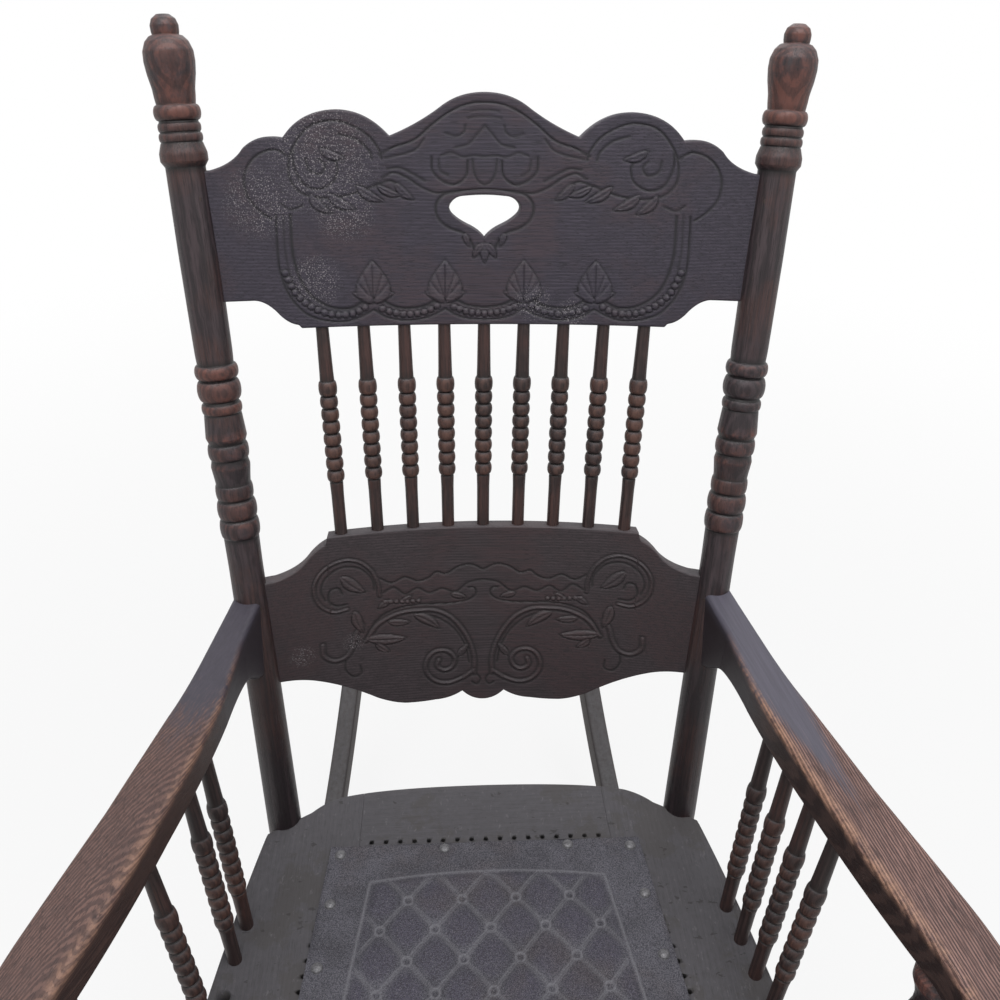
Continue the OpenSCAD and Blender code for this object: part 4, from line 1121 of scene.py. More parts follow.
CREST_ORNAMENT = Ornament(
    strokes=(
        Stroke((82, 600, 71, 605.5, 54.6, 611.2, 39.7, 623, 23.5, 633.4, 9, 638, 0, 638.5)),
        Stroke((80, 597, 82, 604, 92, 615.5, 112, 624, 132, 620.5, 145, 606.5, 150, 592, 148, 579, 138,
                570.5, 122, 568.3, 104, 571, 86, 577.5, 74, 581, 66, 576.5)),
        Stroke((112, 615, 99, 611, 89.5, 603, 87.5, 597), *FINE),
        Stroke((149, 598.5, 160, 603.5, 173.5, 598.5, 182, 586, 181.5, 571, 174, 560, 165, 553)),
        Stroke((146, 603, 146, 592, 140, 579, 128.6, 574.8, 117, 581, 114, 592, 119, 599)),
        Stroke((137, 597, 135, 589, 127, 586, 123, 592, 127, 597), *FINE),
        Stroke((80.4, 583, 72, 587, 62, 584, 49.4, 576.1, 39, 572.2, 30, 572.5, 16.4, 574, 0, 575)),
        Stroke((76, 590, 66, 590.5, 56, 586, 47, 581), *FINE),
        Stroke((41.6, 598.8, 41, 588.9, 34.4, 581.8, 23.9, 578.3, 14.9, 584.8, 13.3, 596.1)),
        Stroke((36, 597, 35, 589, 29, 585), *FAINT),
        Stroke((9.5, 597, 8.5, 588, 5, 581, 0, 578), width=0.9, depth=0.7),
        Stroke((0, 622, 6, 615.5, 13, 608.3, 23, 606), *FAINT),
        Stroke((15, 622, 16.5, 617, 22, 614, 30, 616), *FAINT),
        Stroke((0, 599.5, 9, 600, 17, 599, 26, 602, 34, 600), *FAINT),
        Stroke((0, 633, 5, 633, 11, 632), *HAIR),
        Stroke((0, 628.5, 6, 628.5, 13, 627), *HAIR),
        Stroke((47, 612, 54, 604, 66, 600, 78, 598), *FAINT),
        Stroke((16.4, 573.8, 31.5, 571, 38.6, 563.1, 37, 552.9, 28.8, 545.6, 16.6, 541, 10.5, 533.7, 7.4,
                526.2), width=1.0),
        Stroke((161.5, 556, 162, 540, 161.2, 513, 154, 492, 140, 477.5, 119, 472.2, 104, 474.5, 90,
                481.2)),
        Stroke((90, 481.2, 79, 474.6, 61, 472, 45, 475, 32, 481.2)),
        Stroke((32, 481.2, 22, 475.5, 11, 472.8, 0, 472.2)),
        Stroke((151, 556, 151, 528, 147, 508.6, 139, 494, 125, 484.5, 110, 482.6, 99, 487.5), width=1.1),
        Stroke((81, 487.5, 73, 483.3, 61.5, 481.8, 49, 483.6, 41, 488), width=1.1),
        Stroke((23, 488, 14, 484, 0, 482), width=1.1),
        Stroke((156, 556, 156.5, 530, 154, 509), width=0.9, depth=0.5),
        Stroke((141, 563, 150, 560, 157, 564), width=1.0, depth=0.6)),
    leaves=(
        *palmette(90, 487), *palmette(32, 487),
        Leaf((100, 577), (80, 566), 3.4, 2.0), Leaf((122, 571), (102, 560), 3.4, 2.0),
        Leaf((136, 571), (120, 557), 3.2, 2.0), Leaf((70, 579), (56, 567), 3.0, 1.5),
        Leaf((84, 577), (66, 570), 2.6, 1.5), Leaf((126, 604), (108, 598), 3.0, 2.0),
        Leaf((0, 534), (0, 518), 3.4), Leaf((1, 533), (9, 522), 2.6, 1.0),
        Leaf((16.5, 541), (12, 531), 2.2)),
    pearls=(
        Pearls((157.5, 512, 150.5, 496, 138, 484.2, 122, 478, 107, 478.4, 97, 483)),
        Pearls((83, 481.8, 75, 478.6, 61.5, 476.8, 48, 479, 39, 483.4)),
        Pearls((25, 482.6, 13, 478.2, 0, 477))))

SLAT_ORNAMENT = Ornament(
    strokes=(
        Stroke((124, 210, 136, 209, 147, 217, 152, 230, 149.5, 243, 141, 253, 127, 258.5, 113, 256, 102,
                246, 96.5, 233, 95, 219.5), Cut.ROLL),
        Stroke((143, 222, 146, 232, 142, 243, 132, 250.5, 121.7, 252, 110.3, 248, 101, 236.4, 100, 226),
                *FINE),
        Stroke((124, 215, 134, 215, 140, 222, 138, 231, 131, 232, 128, 226), width=1.0, depth=0.8),
        Stroke((110, 176, 104, 187.5, 94, 199, 77.7, 205.2, 57.5, 207, 30.3, 206.6, 14, 209.5, 7, 215, 8,
                221, 14, 222)),
        Stroke((109, 175, 99, 189, 86, 197, 72, 200.7, 57.6, 201, 44, 199.5, 30.5, 191.8, 20, 179, 12.4,
                163.5, 8.4, 147, 8.6, 131), Cut.ROLL, 1.1, 0.9),
        Stroke((50, 195, 41, 191, 30, 182.5, 21.5, 171, 15.8, 157, 13.4, 143), *FINE),
        Stroke((8.6, 134, 19.8, 126.2, 33.9, 121.4, 46.5, 124.9, 54.2, 136.1, 52.6, 149, 44.4, 156.6,
                33.5, 155.6, 27, 147.5, 29.6, 138.5, 37, 135.5, 43.5, 140, 42, 147), Cut.ROLL, 1.1, 0.9),
        Stroke((147.2, 177, 146.6, 166, 138, 159, 127, 161.5, 120.5, 172, 117, 184, 112, 192), Cut.ROLL,
                1.1, 0.8),
        Stroke((128, 158, 128.4, 148, 122, 139.5, 114.5, 142, 115, 150), *FINE),
        Stroke((94, 237, 84, 231.5, 72, 236, 60, 231, 50, 234, 43.5, 239, 34, 237, 24, 243, 12, 245.5, 0,
                240)),
        Stroke((92, 222, 82, 226.5, 72, 219, 61, 224, 50, 218.5, 38, 222, 26, 218, 14, 227, 0, 230),
                *FINE),
        Stroke((6, 130, 2.5, 124, 6, 118.5, 10.5, 121), *FINE)),
    leaves=(
        Leaf((108, 177), (72, 173.5), 5.2, 1.5, 1.2), Leaf((64, 197), (41, 181), 4.4, -1.5, 1.2),
        Leaf((128, 243), (108, 225), 5.2, 1.5, 1.1), Leaf((118, 207), (111, 184), 4.4, 1.0, 1.1),
        Leaf((88, 192), (68, 190), 3.2, 1.0), Leaf((100, 171), (88, 161), 3.0, 1.0),
        Leaf((30, 216), (16, 212), 2.6), Leaf((86, 214), (97, 207), 2.6),
        Leaf((76, 210), (66, 217), 2.4), Leaf((24, 150), (14, 163), 2.6)),
    pearls=(Pearls((90, 213, 80, 212, 70, 211, 60, 211), 1.9, 5.0),))


@dataclass
class PressedBoard:
    """A bowed back board with a scalloped outline and pressed ornament on its front."""

    name: str
    s: float
    h: float
    bow: float
    end_shares: tuple[float, float]
    top: Runs
    low: Runs
    ornament: Ornament
    specks: Sequence[Place]
    follows_top: bool
    t: float = 15.0
    board_in: float = 10.0
    pitch: float = 1.02
    edge_r: float = 1.6
    rim_wear: float = 0.45
    crest_wear: float = 0.5
    # Painted shade: grooves go fully dark at the first depth, and the flanks of raised forms are shaded by
    # the last amount.
    groove_shade_depth: float = 0.65
    flank_h: float = 0.35
    flank_reach: float = 0.25
    flank_shade: float = 0.55
    plank_off: float = 90.0

    @property
    def mid_half(self) -> float:
        """Half width at the middle of its height, where the bow is measured."""
        return CHAIR.post_x(self.s + self.h / 2)

    @property
    def bow_r(self) -> float:
        """Radius of the bow."""
        return (self.mid_half ** 2 + self.bow ** 2) / (2 * self.bow)

    def face(self, x: Array, out: float) -> Array:
        """Place square to the back of the face that lies out behind the board's middle."""
        return self.bow - self.bow_r + np.sqrt((self.bow_r + out) ** 2 - x ** 2)

    @property
    def ends(self) -> tuple[float, float]:
        """Heights at which the outline meets the posts."""
        return tuple(self.s + share * self.h for share in self.end_shares)

    @property
    def half(self) -> float:
        """Half width of the outline that the shares follow."""
        return CHAIR.post_x(self.ends[int(self.follows_top)]) - CHAIR.post_d / 2

    def edges(self, x: Array) -> tuple[Array, Array]:
        """Heights of the lower and the upper edge at distances from the middle."""
        top = outline((0, self.s + self.h), scaled(self.top, self.half, self.h, self.s))
        low = outline((self.half, self.ends[0]), scaled(self.low, self.half, self.h, self.s))[::-1]
        far = self.half + 2 * self.board_in
        top = np.vstack((top, (far, self.ends[1])))
        low = np.vstack((low, (far, self.ends[0])))
        return np.interp(np.abs(x), low[:, 0], low[:, 1]), np.interp(np.abs(x), top[:, 0], top[:, 1])

    def marks(self, local: Array) -> tuple[Array, Array, Array, Array]:
        """Grain, wear, hollow and specks at places given in the frame of the back. Creases and the
        flanks of raised forms get painted shade, and their crests and the board's rim are worn."""
        x, n, s = local.T
        front = n < self.face(x, 0) - self.t / 4
        height = np.where(front, self.ornament.height(x, s), 0)
        low, top = self.edges(x)
        rim = 1 - fade(np.minimum(s - low, top - s), 0.4, 2.6)
        wear = np.clip(self.rim_wear * rim + np.clip(height, 0, 1) * self.crest_wear, 0, 1)
        flank = (height > 0.05) * np.clip(1 - np.abs(height - self.flank_h) / self.flank_reach, 0, 1)
        # Painted shade in the grooves and on the flanks of the raised forms.
        hollow = np.clip(-height / self.groove_shade_depth, 0, 1) + self.flank_shade * flank
        speck = np.zeros(len(x))
        for at_x, at_s, reach in self.specks:
            speck = np.maximum(speck, 1 - fade(np.hypot(x - at_x, s - at_s), 0.35 * reach, reach))
        grain = np.column_stack((s - self.s + self.plank_off, n, x))
        return grain, wear, hollow, speck * front

    def skin(self) -> Piece:
        """The board's closed skin: at each distance x from the middle a loop up the front, over a
        rounded edge, down the back and round again. The front stands forward by the relief."""
        reach = CHAIR.post_x((self.ends[0] + self.ends[1]) / 2) - CHAIR.post_d / 2 + self.board_in
        x = np.linspace(-reach, reach, round(2 * reach / self.pitch) + 1)
        low, top = self.edges(x)
        r = self.edge_r
        rise = np.linspace(0, 1, round(self.h / self.pitch))
        turn = np.linspace(0, math.pi / 2, 5)
        back = np.linspace(0, 1, 14)
        s_front = low[:, None] + r + (top - low - 2 * r)[:, None] * rise
        s_back = s_front[:, :1] + (s_front[:, -1:] - s_front[:, :1]) * back[::-1]
        over_top = s_front[:, -1:] + r * np.sin(turn[1:])
        under = s_front[:, :1] - r * np.sin(turn[1:])
        bevel = np.outer(np.ones(len(x)), r * (1 - np.cos(turn[1:])))
        front = self.face(x, -self.t / 2)[:, None]
        rear = self.face(x, self.t / 2)[:, None]
        relief = self.ornament.height(np.repeat(x, len(rise)), s_front.ravel()).reshape(s_front.shape)
        hem = fade(np.minimum(s_front - low[:, None], top[:, None] - s_front), 1.0, 4.5)
        s = np.hstack((s_front, over_top, over_top[:, ::-1], s_back, under, under[:, ::-1]))
        n = np.hstack((front - relief * hem, front + bevel, rear - bevel[:, ::-1],
                       np.repeat(rear, len(back), axis=1), rear - bevel, front + bevel[:, ::-1]))
        local = np.stack((np.repeat(x[:, None], s.shape[1], axis=1), n, s), axis=-1)
        return loop_skin(self.name + "_pressed", Surface(CHAIR.back.place(local), local))

    def build(self, finish: Material, holes: Sequence[Piece] = ()) -> None:
        """Makes the board, cuts its holes and marks it for its finish."""
        piece = self.skin()
        for hole in holes:
            cut_away(piece, hole)
        write_marks(piece.data, *self.marks(CHAIR.back.local(points_of(piece))))
        dress(piece, finish, self.name, self.name)


CREST_S, CREST_H = 468.0, 178.0
CREST = PressedBoard(
    "crest_rail", CREST_S, CREST_H, 35.0, (0.132, 0.677),
    top=(((0.095, 1.0), (0.163, 0.941)), ((0.25, 0.868), (0.356, 0.820)),
         ((0.44, 0.925), (0.543, 0.924)), ((0.67, 0.92), (0.736, 0.809)),
         ((0.817, 0.83), (0.875, 0.767)), ((0.913, 0.70), (1.0, 0.677))),
    low=(((0.875, 0.131),), ((0.835, 0.128), (0.795, 0.075)), ((0.76, 0.022), (0.719, 0.015)),
         ((0.709, 0.0),), ((0.0, 0.0),)),
    ornament=CREST_ORNAMENT, specks=((-125, 598, 52), (-172, 566, 34), (-135, 505, 26), (-110, 560, 30),
                                     (40, 486, 20), (72, 478, 16)), follows_top=True)
SLAT = PressedBoard(
    "lower_back_slat", 101.5, 181.5, 45.5, (0.256, 0.812),
    top=(((0.749, 1.0),), ((0.755, 0.965),), ((0.80, 0.945), (0.838, 0.902)), ((0.89, 0.83), (1.0, 0.812))),
    low=(((0.91, 0.25), (0.835, 0.219)), ((0.70, 0.165), (0.543, 0.058)), ((0.46, 0.012), (0.394, 0.005)),
         ((0.32, 0), (0.245, 0.009)), ((0.17, 0.01), (0.108, 0.054)), ((0.06, 0), (0, 0))),
    ornament=SLAT_ORNAMENT, specks=((-120, 176, 12), (-165, 170, 14)), follows_top=False)

HOLD_HALF, HOLD_H, HOLD_S = 28.2, 32.5, 70.0
HOLD_RUNS: Runs = (((0.14, 0.16), (0.42, 0.28)), ((0.78, 0.42), (0.94, 0.58)), ((1.06, 0.72), (0.92, 0.84)),
                   ((0.80, 0.97), (0.55, 0.975)), ((0.28, 1.0), (0, 1.0)))


def hand_hold_cutter() -> Piece:
    """The hand hold's solid: its mirrored outline carried through the board, wider towards both
    faces by the square of the way past a straight core."""
    half = outline((0, 0), scaled(HOLD_RUNS, HOLD_HALF, HOLD_H))
    ring = resample(np.vstack((half, half[-2::-1] * (-1, 1))), 1.2)[:-1] + (0, CREST_S + HOLD_S)
    middle = ring.mean(0)
    reach, core, flare = 30.0, 4.0, 1.6
    mid = float(CREST.face(np.zeros(1), 0)[0])
    n = np.concatenate((np.linspace(-reach, -core, 10), np.linspace(core, reach, 10)))
    grow = flare * np.clip((np.abs(n) - core) / core, 0, 1) ** 2
    away = unit(ring - middle)
    points = np.stack([np.column_stack((ring[:, 0] + away[:, 0] * g, np.full(len(ring), mid + m),
                                        ring[:, 1] + away[:, 1] * g)) for m, g in zip(n, grow)])
    return loop_skin("hold_cutter", Surface(CHAIR.back.place(points), points))


# Spindles and arm posts

SPINDLE_N, SPINDLE_TOP_PITCH, SPINDLE_LOW_PITCH, SPINDLE_D, SPINDLE_BEAD = 9, 33.2, 31.7, 11.0, 1.38
SPINDLE_IN, SPINDLE_TOP_SHARE = 11.0, 0.95
SPINDLE_ROWS: Rows = (
    (0.02, 1), (0.20, 1.0), (0.26, 1.06),
    *((0.268 + i * 0.0595, 0.3265 + i * 0.0595, SPINDLE_BEAD * 0.70, SPINDLE_BEAD) for i in range(7)),
    (0.685, 0.752, SPINDLE_BEAD * 0.80, SPINDLE_BEAD * 1.03), (0.785, 1.06),
    (0.98, 0.95))
ARM_BEAD = 1.36
ARM_SPINDLE_ROWS: Rows = (
    (0.02, 1), (0.17, 1.04), (0.195, 1.12),
    *((0.203 + i * 0.0575, 0.2595 + i * 0.0575, ARM_BEAD * 0.72, ARM_BEAD) for i in range(7)),
    (0.606, 0.680, ARM_BEAD * 0.84, ARM_BEAD * 1.05), (0.715, 1.10), (0.96, 0.95))
ARM_POST_ROWS: Rows = (
    (0.025, 0.5), (0.05, 0.11, 0.70, 0.92), (0.13, 0.66), (0.19, 0.80), (0.30, 0.97), (0.38, 1.0),
    (0.45, 0.90), (0.47, 0.53, 0.84, 1.0), (0.54, 0.60, 0.84, 1.0), (0.62, 0.74), (0.68, 0.80),
    (0.72, 0.82), (0.78, 0.62), (0.82, 0.55), (0.85, 0.60), (0.88, 0.76), (0.91, 1.0), (0.94, 1.06),
    (0.965, 0.94), (0.975, 0.5))


@dataclass
class BackSpindles:
    """The nine beaded spindles between the slat and the crest rail."""

    sides: int = 24

    def build(self, finish: Material) -> None:
        """Turns each spindle between its two sockets."""
        kind = Turning(SPINDLE_ROWS, SPINDLE_D, plug(SPINDLE_D, SPINDLE_IN),
                       plug(SPINDLE_TOP_SHARE * SPINDLE_D, SPINDLE_IN), self.sides, finish, "back_spindles")
        for k in range(1, SPINDLE_N + 1):
            place = k - (SPINDLE_N + 1) / 2
            kind.make(f"back_spindle_{k}", self.socket(place * SPINDLE_LOW_PITCH, SLAT, SLAT.s + SLAT.h),
                      self.socket(place * SPINDLE_TOP_PITCH, CREST, CREST.s))

    @staticmethod
    def socket(x: float, board: PressedBoard, s: float) -> Array:
        """Where a spindle enters a board's edge."""
        return CHAIR.back.place(np.array([x, float(board.face(np.array(x), 0)), s]))


@dataclass
class ArmSupports:
    """The arm spindles and the turned posts under the arms' front ends."""

    spindle_d: float = 11.5
    pitch: float = 31.6
    first: float = 113.5
    edge: float = 20.5
    post_d: float = 34.0
    post_end_d: float = 17.0
    post_e: float = 319.0
    post_half: float = 229.0
    seat_half: float = 251.0
    seat_depth: float = 446.0
    post_sides: int = 36
    spindle_sides: int = 24
    seat_side_shares: tuple[float, ...] = (0.835, 0.38, -0.21)
    arm_mid_shares: tuple[float, ...] = (0.159, 0.009, 1.665, -0.849)

    def under_arm(self, low: Array) -> Array:
        """Where a support that starts at low and leans back meets the arm's underside."""
        rise = CHAIR.arm_z - CHAIR.arm_t
        y = low[1] + (rise - CHAIR.seat_z) * math.tan(math.radians(CHAIR.arm_spindle_rake))
        start = CHAIR.post_y + (CHAIR.arm_z - CHAIR.arm_t / 2 - CHAIR.seat_z) * math.tan(
            math.radians(CHAIR.back_rake))
        way = (start - y) / CHAIR.arm_len
        sweep = sum(share * way ** k for k, share in enumerate(self.arm_mid_shares))
        return np.array([CHAIR.arm_half + CHAIR.arm_flare * sweep, y, rise])

    def spindle_ends(self, k: int) -> tuple[Array, Array]:
        """Lower and upper end of arm spindle k of the right side, counted from the back."""
        e = self.first + (k - 1) * self.pitch
        side = self.seat_half * sum(share * (e / self.seat_depth) ** n
                                    for n, share in enumerate(self.seat_side_shares))
        low = CHAIR.on_seat(side - self.edge, -e)
        return low, self.under_arm(low)

    def build(self, spindle_finish: Material, post_finish: Material) -> None:
        """Turns the posts and the seven spindles; the left side's third is missing."""
        end = plug(self.post_end_d, CHAIR.turned_in)
        post = Turning(ARM_POST_ROWS, self.post_d, end, end, self.post_sides, post_finish, "arm_posts")
        spindle = Turning(ARM_SPINDLE_ROWS, self.spindle_d, plug(self.spindle_d, CHAIR.turned_in),
                          plug(SPINDLE_TOP_SHARE * self.spindle_d, CHAIR.turned_in), self.spindle_sides,
                          spindle_finish, "arm_spindles")
        low = CHAIR.on_seat(self.post_half, -self.post_e)
        for side in Side:
            post.make(side.tag + "_arm_post", side.of(low), side.of(self.under_arm(low)))
            for k in (1, 2, 4) if side is Side.LEFT else (1, 2, 3, 4):
                spindle.make(f"{side.tag}_arm_spindle_{k}", *(side.of(p) for p in self.spindle_ends(k)))

    def socket_cutter(self, upper: bool) -> Piece:
        """The empty socket of the missing spindle, in the left arm or in the left seat board."""
        a, b = (Side.LEFT.of(p) for p in self.spindle_ends(3))
        start, towards = (b, a) if upper else (a, b)
        depth = CHAIR.turned_in
        flat = np.zeros(2)
        plain = Profile(np.array([-depth, 2 * depth]), flat + self.spindle_d / 2, flat, flat)
        return turned_piece("socket_cutter", plain, start, towards, 20)


# Arms

@dataclass
class Arm:
    """A flat arm that sweeps outwards, thick at its root on the post and rounded at the nose."""

    side: Side
    root_h: float = 70.0
    top_r: float = 5.0
    low_r: float = 3.0
    nose_r: float = 13.0
    edge_runs: Runs = (
        ((0.065, 0.031), (0.13, 0.0745)), ((0.19, 0.088), (0.273, 0.1146)),
        ((0.38, 0.172), (0.515, 0.3075)),
        ((0.65, 0.4285), (0.77, 0.584)), ((0.815, 0.642), (0.865, 0.625)), ((0.93, 0.60), (0.965, 0.592)),
        ((1.0, 0.60), (1.0, 0.79)), ((1.0, 0.99), (0.915, 1.0)), ((0.80, 1.0), (0.70, 0.885)),
        ((0.59, 0.7585), (0.50, 0.651)), ((0.40, 0.55), (0.306, 0.452)), ((0.25, 0.385), (0.17, 0.33)),
        ((0.11, 0.29), (0.05, 0.245)), ((-0.01, 0.205), (-0.05, 0.175)))
    root_runs: Runs = (((0.06, 1.0), (0.10, 0.62)), ((0.15, 0.10), (0.27, 0.0)))
    back: float = -2.0
    thin_share: float = 0.62
    band: tuple[float, float] = (4.0, 7.0)
    outer_wear: float = 0.35
    open_reach: tuple[float, float] = (70.0, 210.0)
    kept_half: float = 22.0

    def plan(self) -> tuple[Array, Array]:
        """Inner and outer edge, each as distance from the post and from the middle, back to front."""
        path = outline((0, 0), scaled(self.edge_runs, CHAIR.arm_len, CHAIR.arm_flare))
        path[:, 1] += CHAIR.arm_half
        nose = int(np.argmax(path[:, 0]))
        return path[:nose + 1], path[nose:][::-1]

    def surface(self) -> Surface:
        """Loops at distances from the post. Each is a rectangle between the plan's edges, from the
        underside to the top, with rounded corners; towards the nose it thins as a quarter circle,
        and at the back it leans with the post."""
        inner, outer = self.plan()
        length = inner[-1, 0]
        way = np.concatenate((np.linspace(self.back, length - self.nose_r, 330),
                              length - self.nose_r * (1 - np.sin(np.linspace(0.04, math.pi / 2, 26)))))
        way = np.minimum(way, length - 0.05)
        x0 = np.interp(way, inner[:, 0], inner[:, 1])
        x1 = np.interp(way, outer[:, 0], outer[:, 1])
        deeper = self.root_h - CHAIR.arm_t
        root = outline((self.back, deeper), scaled(self.root_runs, CHAIR.arm_len, deeper))
        drop = np.interp(way, root[:, 0], root[:, 1], right=0)
        near = np.clip(1 - (length - way) / self.nose_r, 0, 1)
        thin = self.thin_share * self.nose_r * (1 - np.sqrt(1 - near ** 2))
        top = CHAIR.arm_z - thin
        low = CHAIR.arm_z - CHAIR.arm_t - drop + thin
        loop = self.loop(x0, x1, low, top)
        x, z = loop[..., 0], loop[..., 1]
        reference = CHAIR.arm_z - CHAIR.arm_t / 2
        rake = math.tan(math.radians(CHAIR.back_rake))
        start = CHAIR.post_y + (reference - CHAIR.seat_z) * rake
        lean = 1 - fade(way, 0, 60)
        y = start - way[:, None] + lean[:, None] * (z - reference) * rake
        points = np.stack((x * self.side.value, y, z), axis=-1)
        from_inner, from_outer = x - x0[:, None], x1[:, None] - x
        upper = fade(z, CHAIR.arm_z - 7, CHAIR.arm_z - 2)
        band = (self.band[0] + self.band[1] * fade(way, 60, 300))[:, None]
        wear = (1 - fade(from_inner, 0.25 * band, band)) * fade(way, 45, 120)[:, None] * upper
        outer = 1 - fade(from_outer, 0.5, 4.0)
        wear = np.maximum(wear, self.outer_wear * outer * fade(way, 90, 160)[:, None] * upper)
        # Painted shade on the arm's sides and underside, below the top's edge, carried as the hollow mark.
        shade = 1 - fade(z, CHAIR.arm_z - 7, CHAIR.arm_z - 1.5)
        kept = self.kept_smooth * np.exp(-((from_inner - from_outer) / self.kept_half) ** 2)
        opened = fade(way[:, None] - kept, *self.open_reach)
        return Surface(points, self.grain_frame(x, way[:, None], z - reference), wear,
                       self.side_shade * shade, opened)

    @property
    def side_shade(self) -> float:
        """How dark the arm's sides are: the left arm's show more light in the photograph."""
        return 0.9 if self.side is Side.RIGHT else 0.6

    @property
    def kept_smooth(self) -> float:
        """How much farther from the post the middle of the top is still smooth."""
        return 85.0 if self.side is Side.RIGHT else 10.0

    def grain_frame(self, x: Array, way: Array, high: Array) -> Array:
        """Places in the frame of the plank that the arm was sawn from.

        The left arm's plank has its heart below the arm's front half, and the heart comes nearer
        towards the nose, which gives pointed arches. The right arm's heart lies far to one side,
        which gives straight lines. The five values are the plank's turn in degrees, the place
        where its heart passes under the arm, the heart's rise towards the nose, and how far ahead
        of that place the heart comes up.
        """
        left, right = (19.0, 266.0, 325.0, 0.16, 90.0), (9.1, 150.0, 300.0, 0.02, 500.0)
        turn, heart_x, heart_way, rise, reach = left if self.side is Side.LEFT else right
        c, s = math.cos(math.radians(turn)), math.sin(math.radians(turn))
        off, past = x - heart_x, way - heart_way
        across, along = off * c - past * s, past * c + off * s
        return np.stack((across, high - CHAIR.arm_t / 2 + rise * (reach - along) - 21.0, -along), axis=-1)

    def loop(self, x0: Array, x1: Array, low: Array, top: Array) -> Array:
        """Rectangles with rounded corners, one a row: the inner side up, the top, the outer side
        down, the underside."""
        half = (x1 - x0) / 2
        tall = (top - low) / 2
        r_top, r_low = (np.minimum(np.minimum(r, half * 0.95), tall * 0.95)[:, None]
                        for r in (self.top_r, self.low_r))
        turn = np.linspace(0, math.pi / 2, 7)
        flat = np.linspace(0, 1, 26)[1:-1]
        a, b, c, d = (v[:, None] for v in (x0, x1, low, top))
        corners = (
            (a + r_top * (1 - np.cos(turn)), d - r_top * (1 - np.sin(turn))),
            (a + r_top + (b - a - 2 * r_top) * flat, d + 0 * flat),
            (b - r_top * (1 - np.sin(turn)), d - r_top * (1 - np.cos(turn))),
            (b + 0 * flat[::3], d - r_top - (d - c - r_top - r_low) * flat[::3]),
            (b - r_low * (1 - np.cos(turn)), c + r_low * (1 - np.sin(turn))),
            (b - r_low - (b - a - 2 * r_low) * flat[::2], c + 0 * flat[::2]),
            (a + r_low * (1 - np.sin(turn)), c + r_low * (1 - np.cos(turn))),
            (a + 0 * flat[::3], c + r_low + (d - c - r_top - r_low) * flat[::3]))
        return np.stack((np.hstack([x for x, _ in corners]), np.hstack([z for _, z in corners])), axis=-1)

    def build(self, finish: Material, supports: ArmSupports) -> None:
        """Makes the arm; the left one keeps the missing spindle's empty socket."""
        name = self.side.tag + "_arm"
        piece = loop_skin(name + "_swept", self.surface())
        if self.side is Side.LEFT:
            cut_away(piece, supports.socket_cutter(True))
        dress(piece, finish, "arms", name)


# Seat

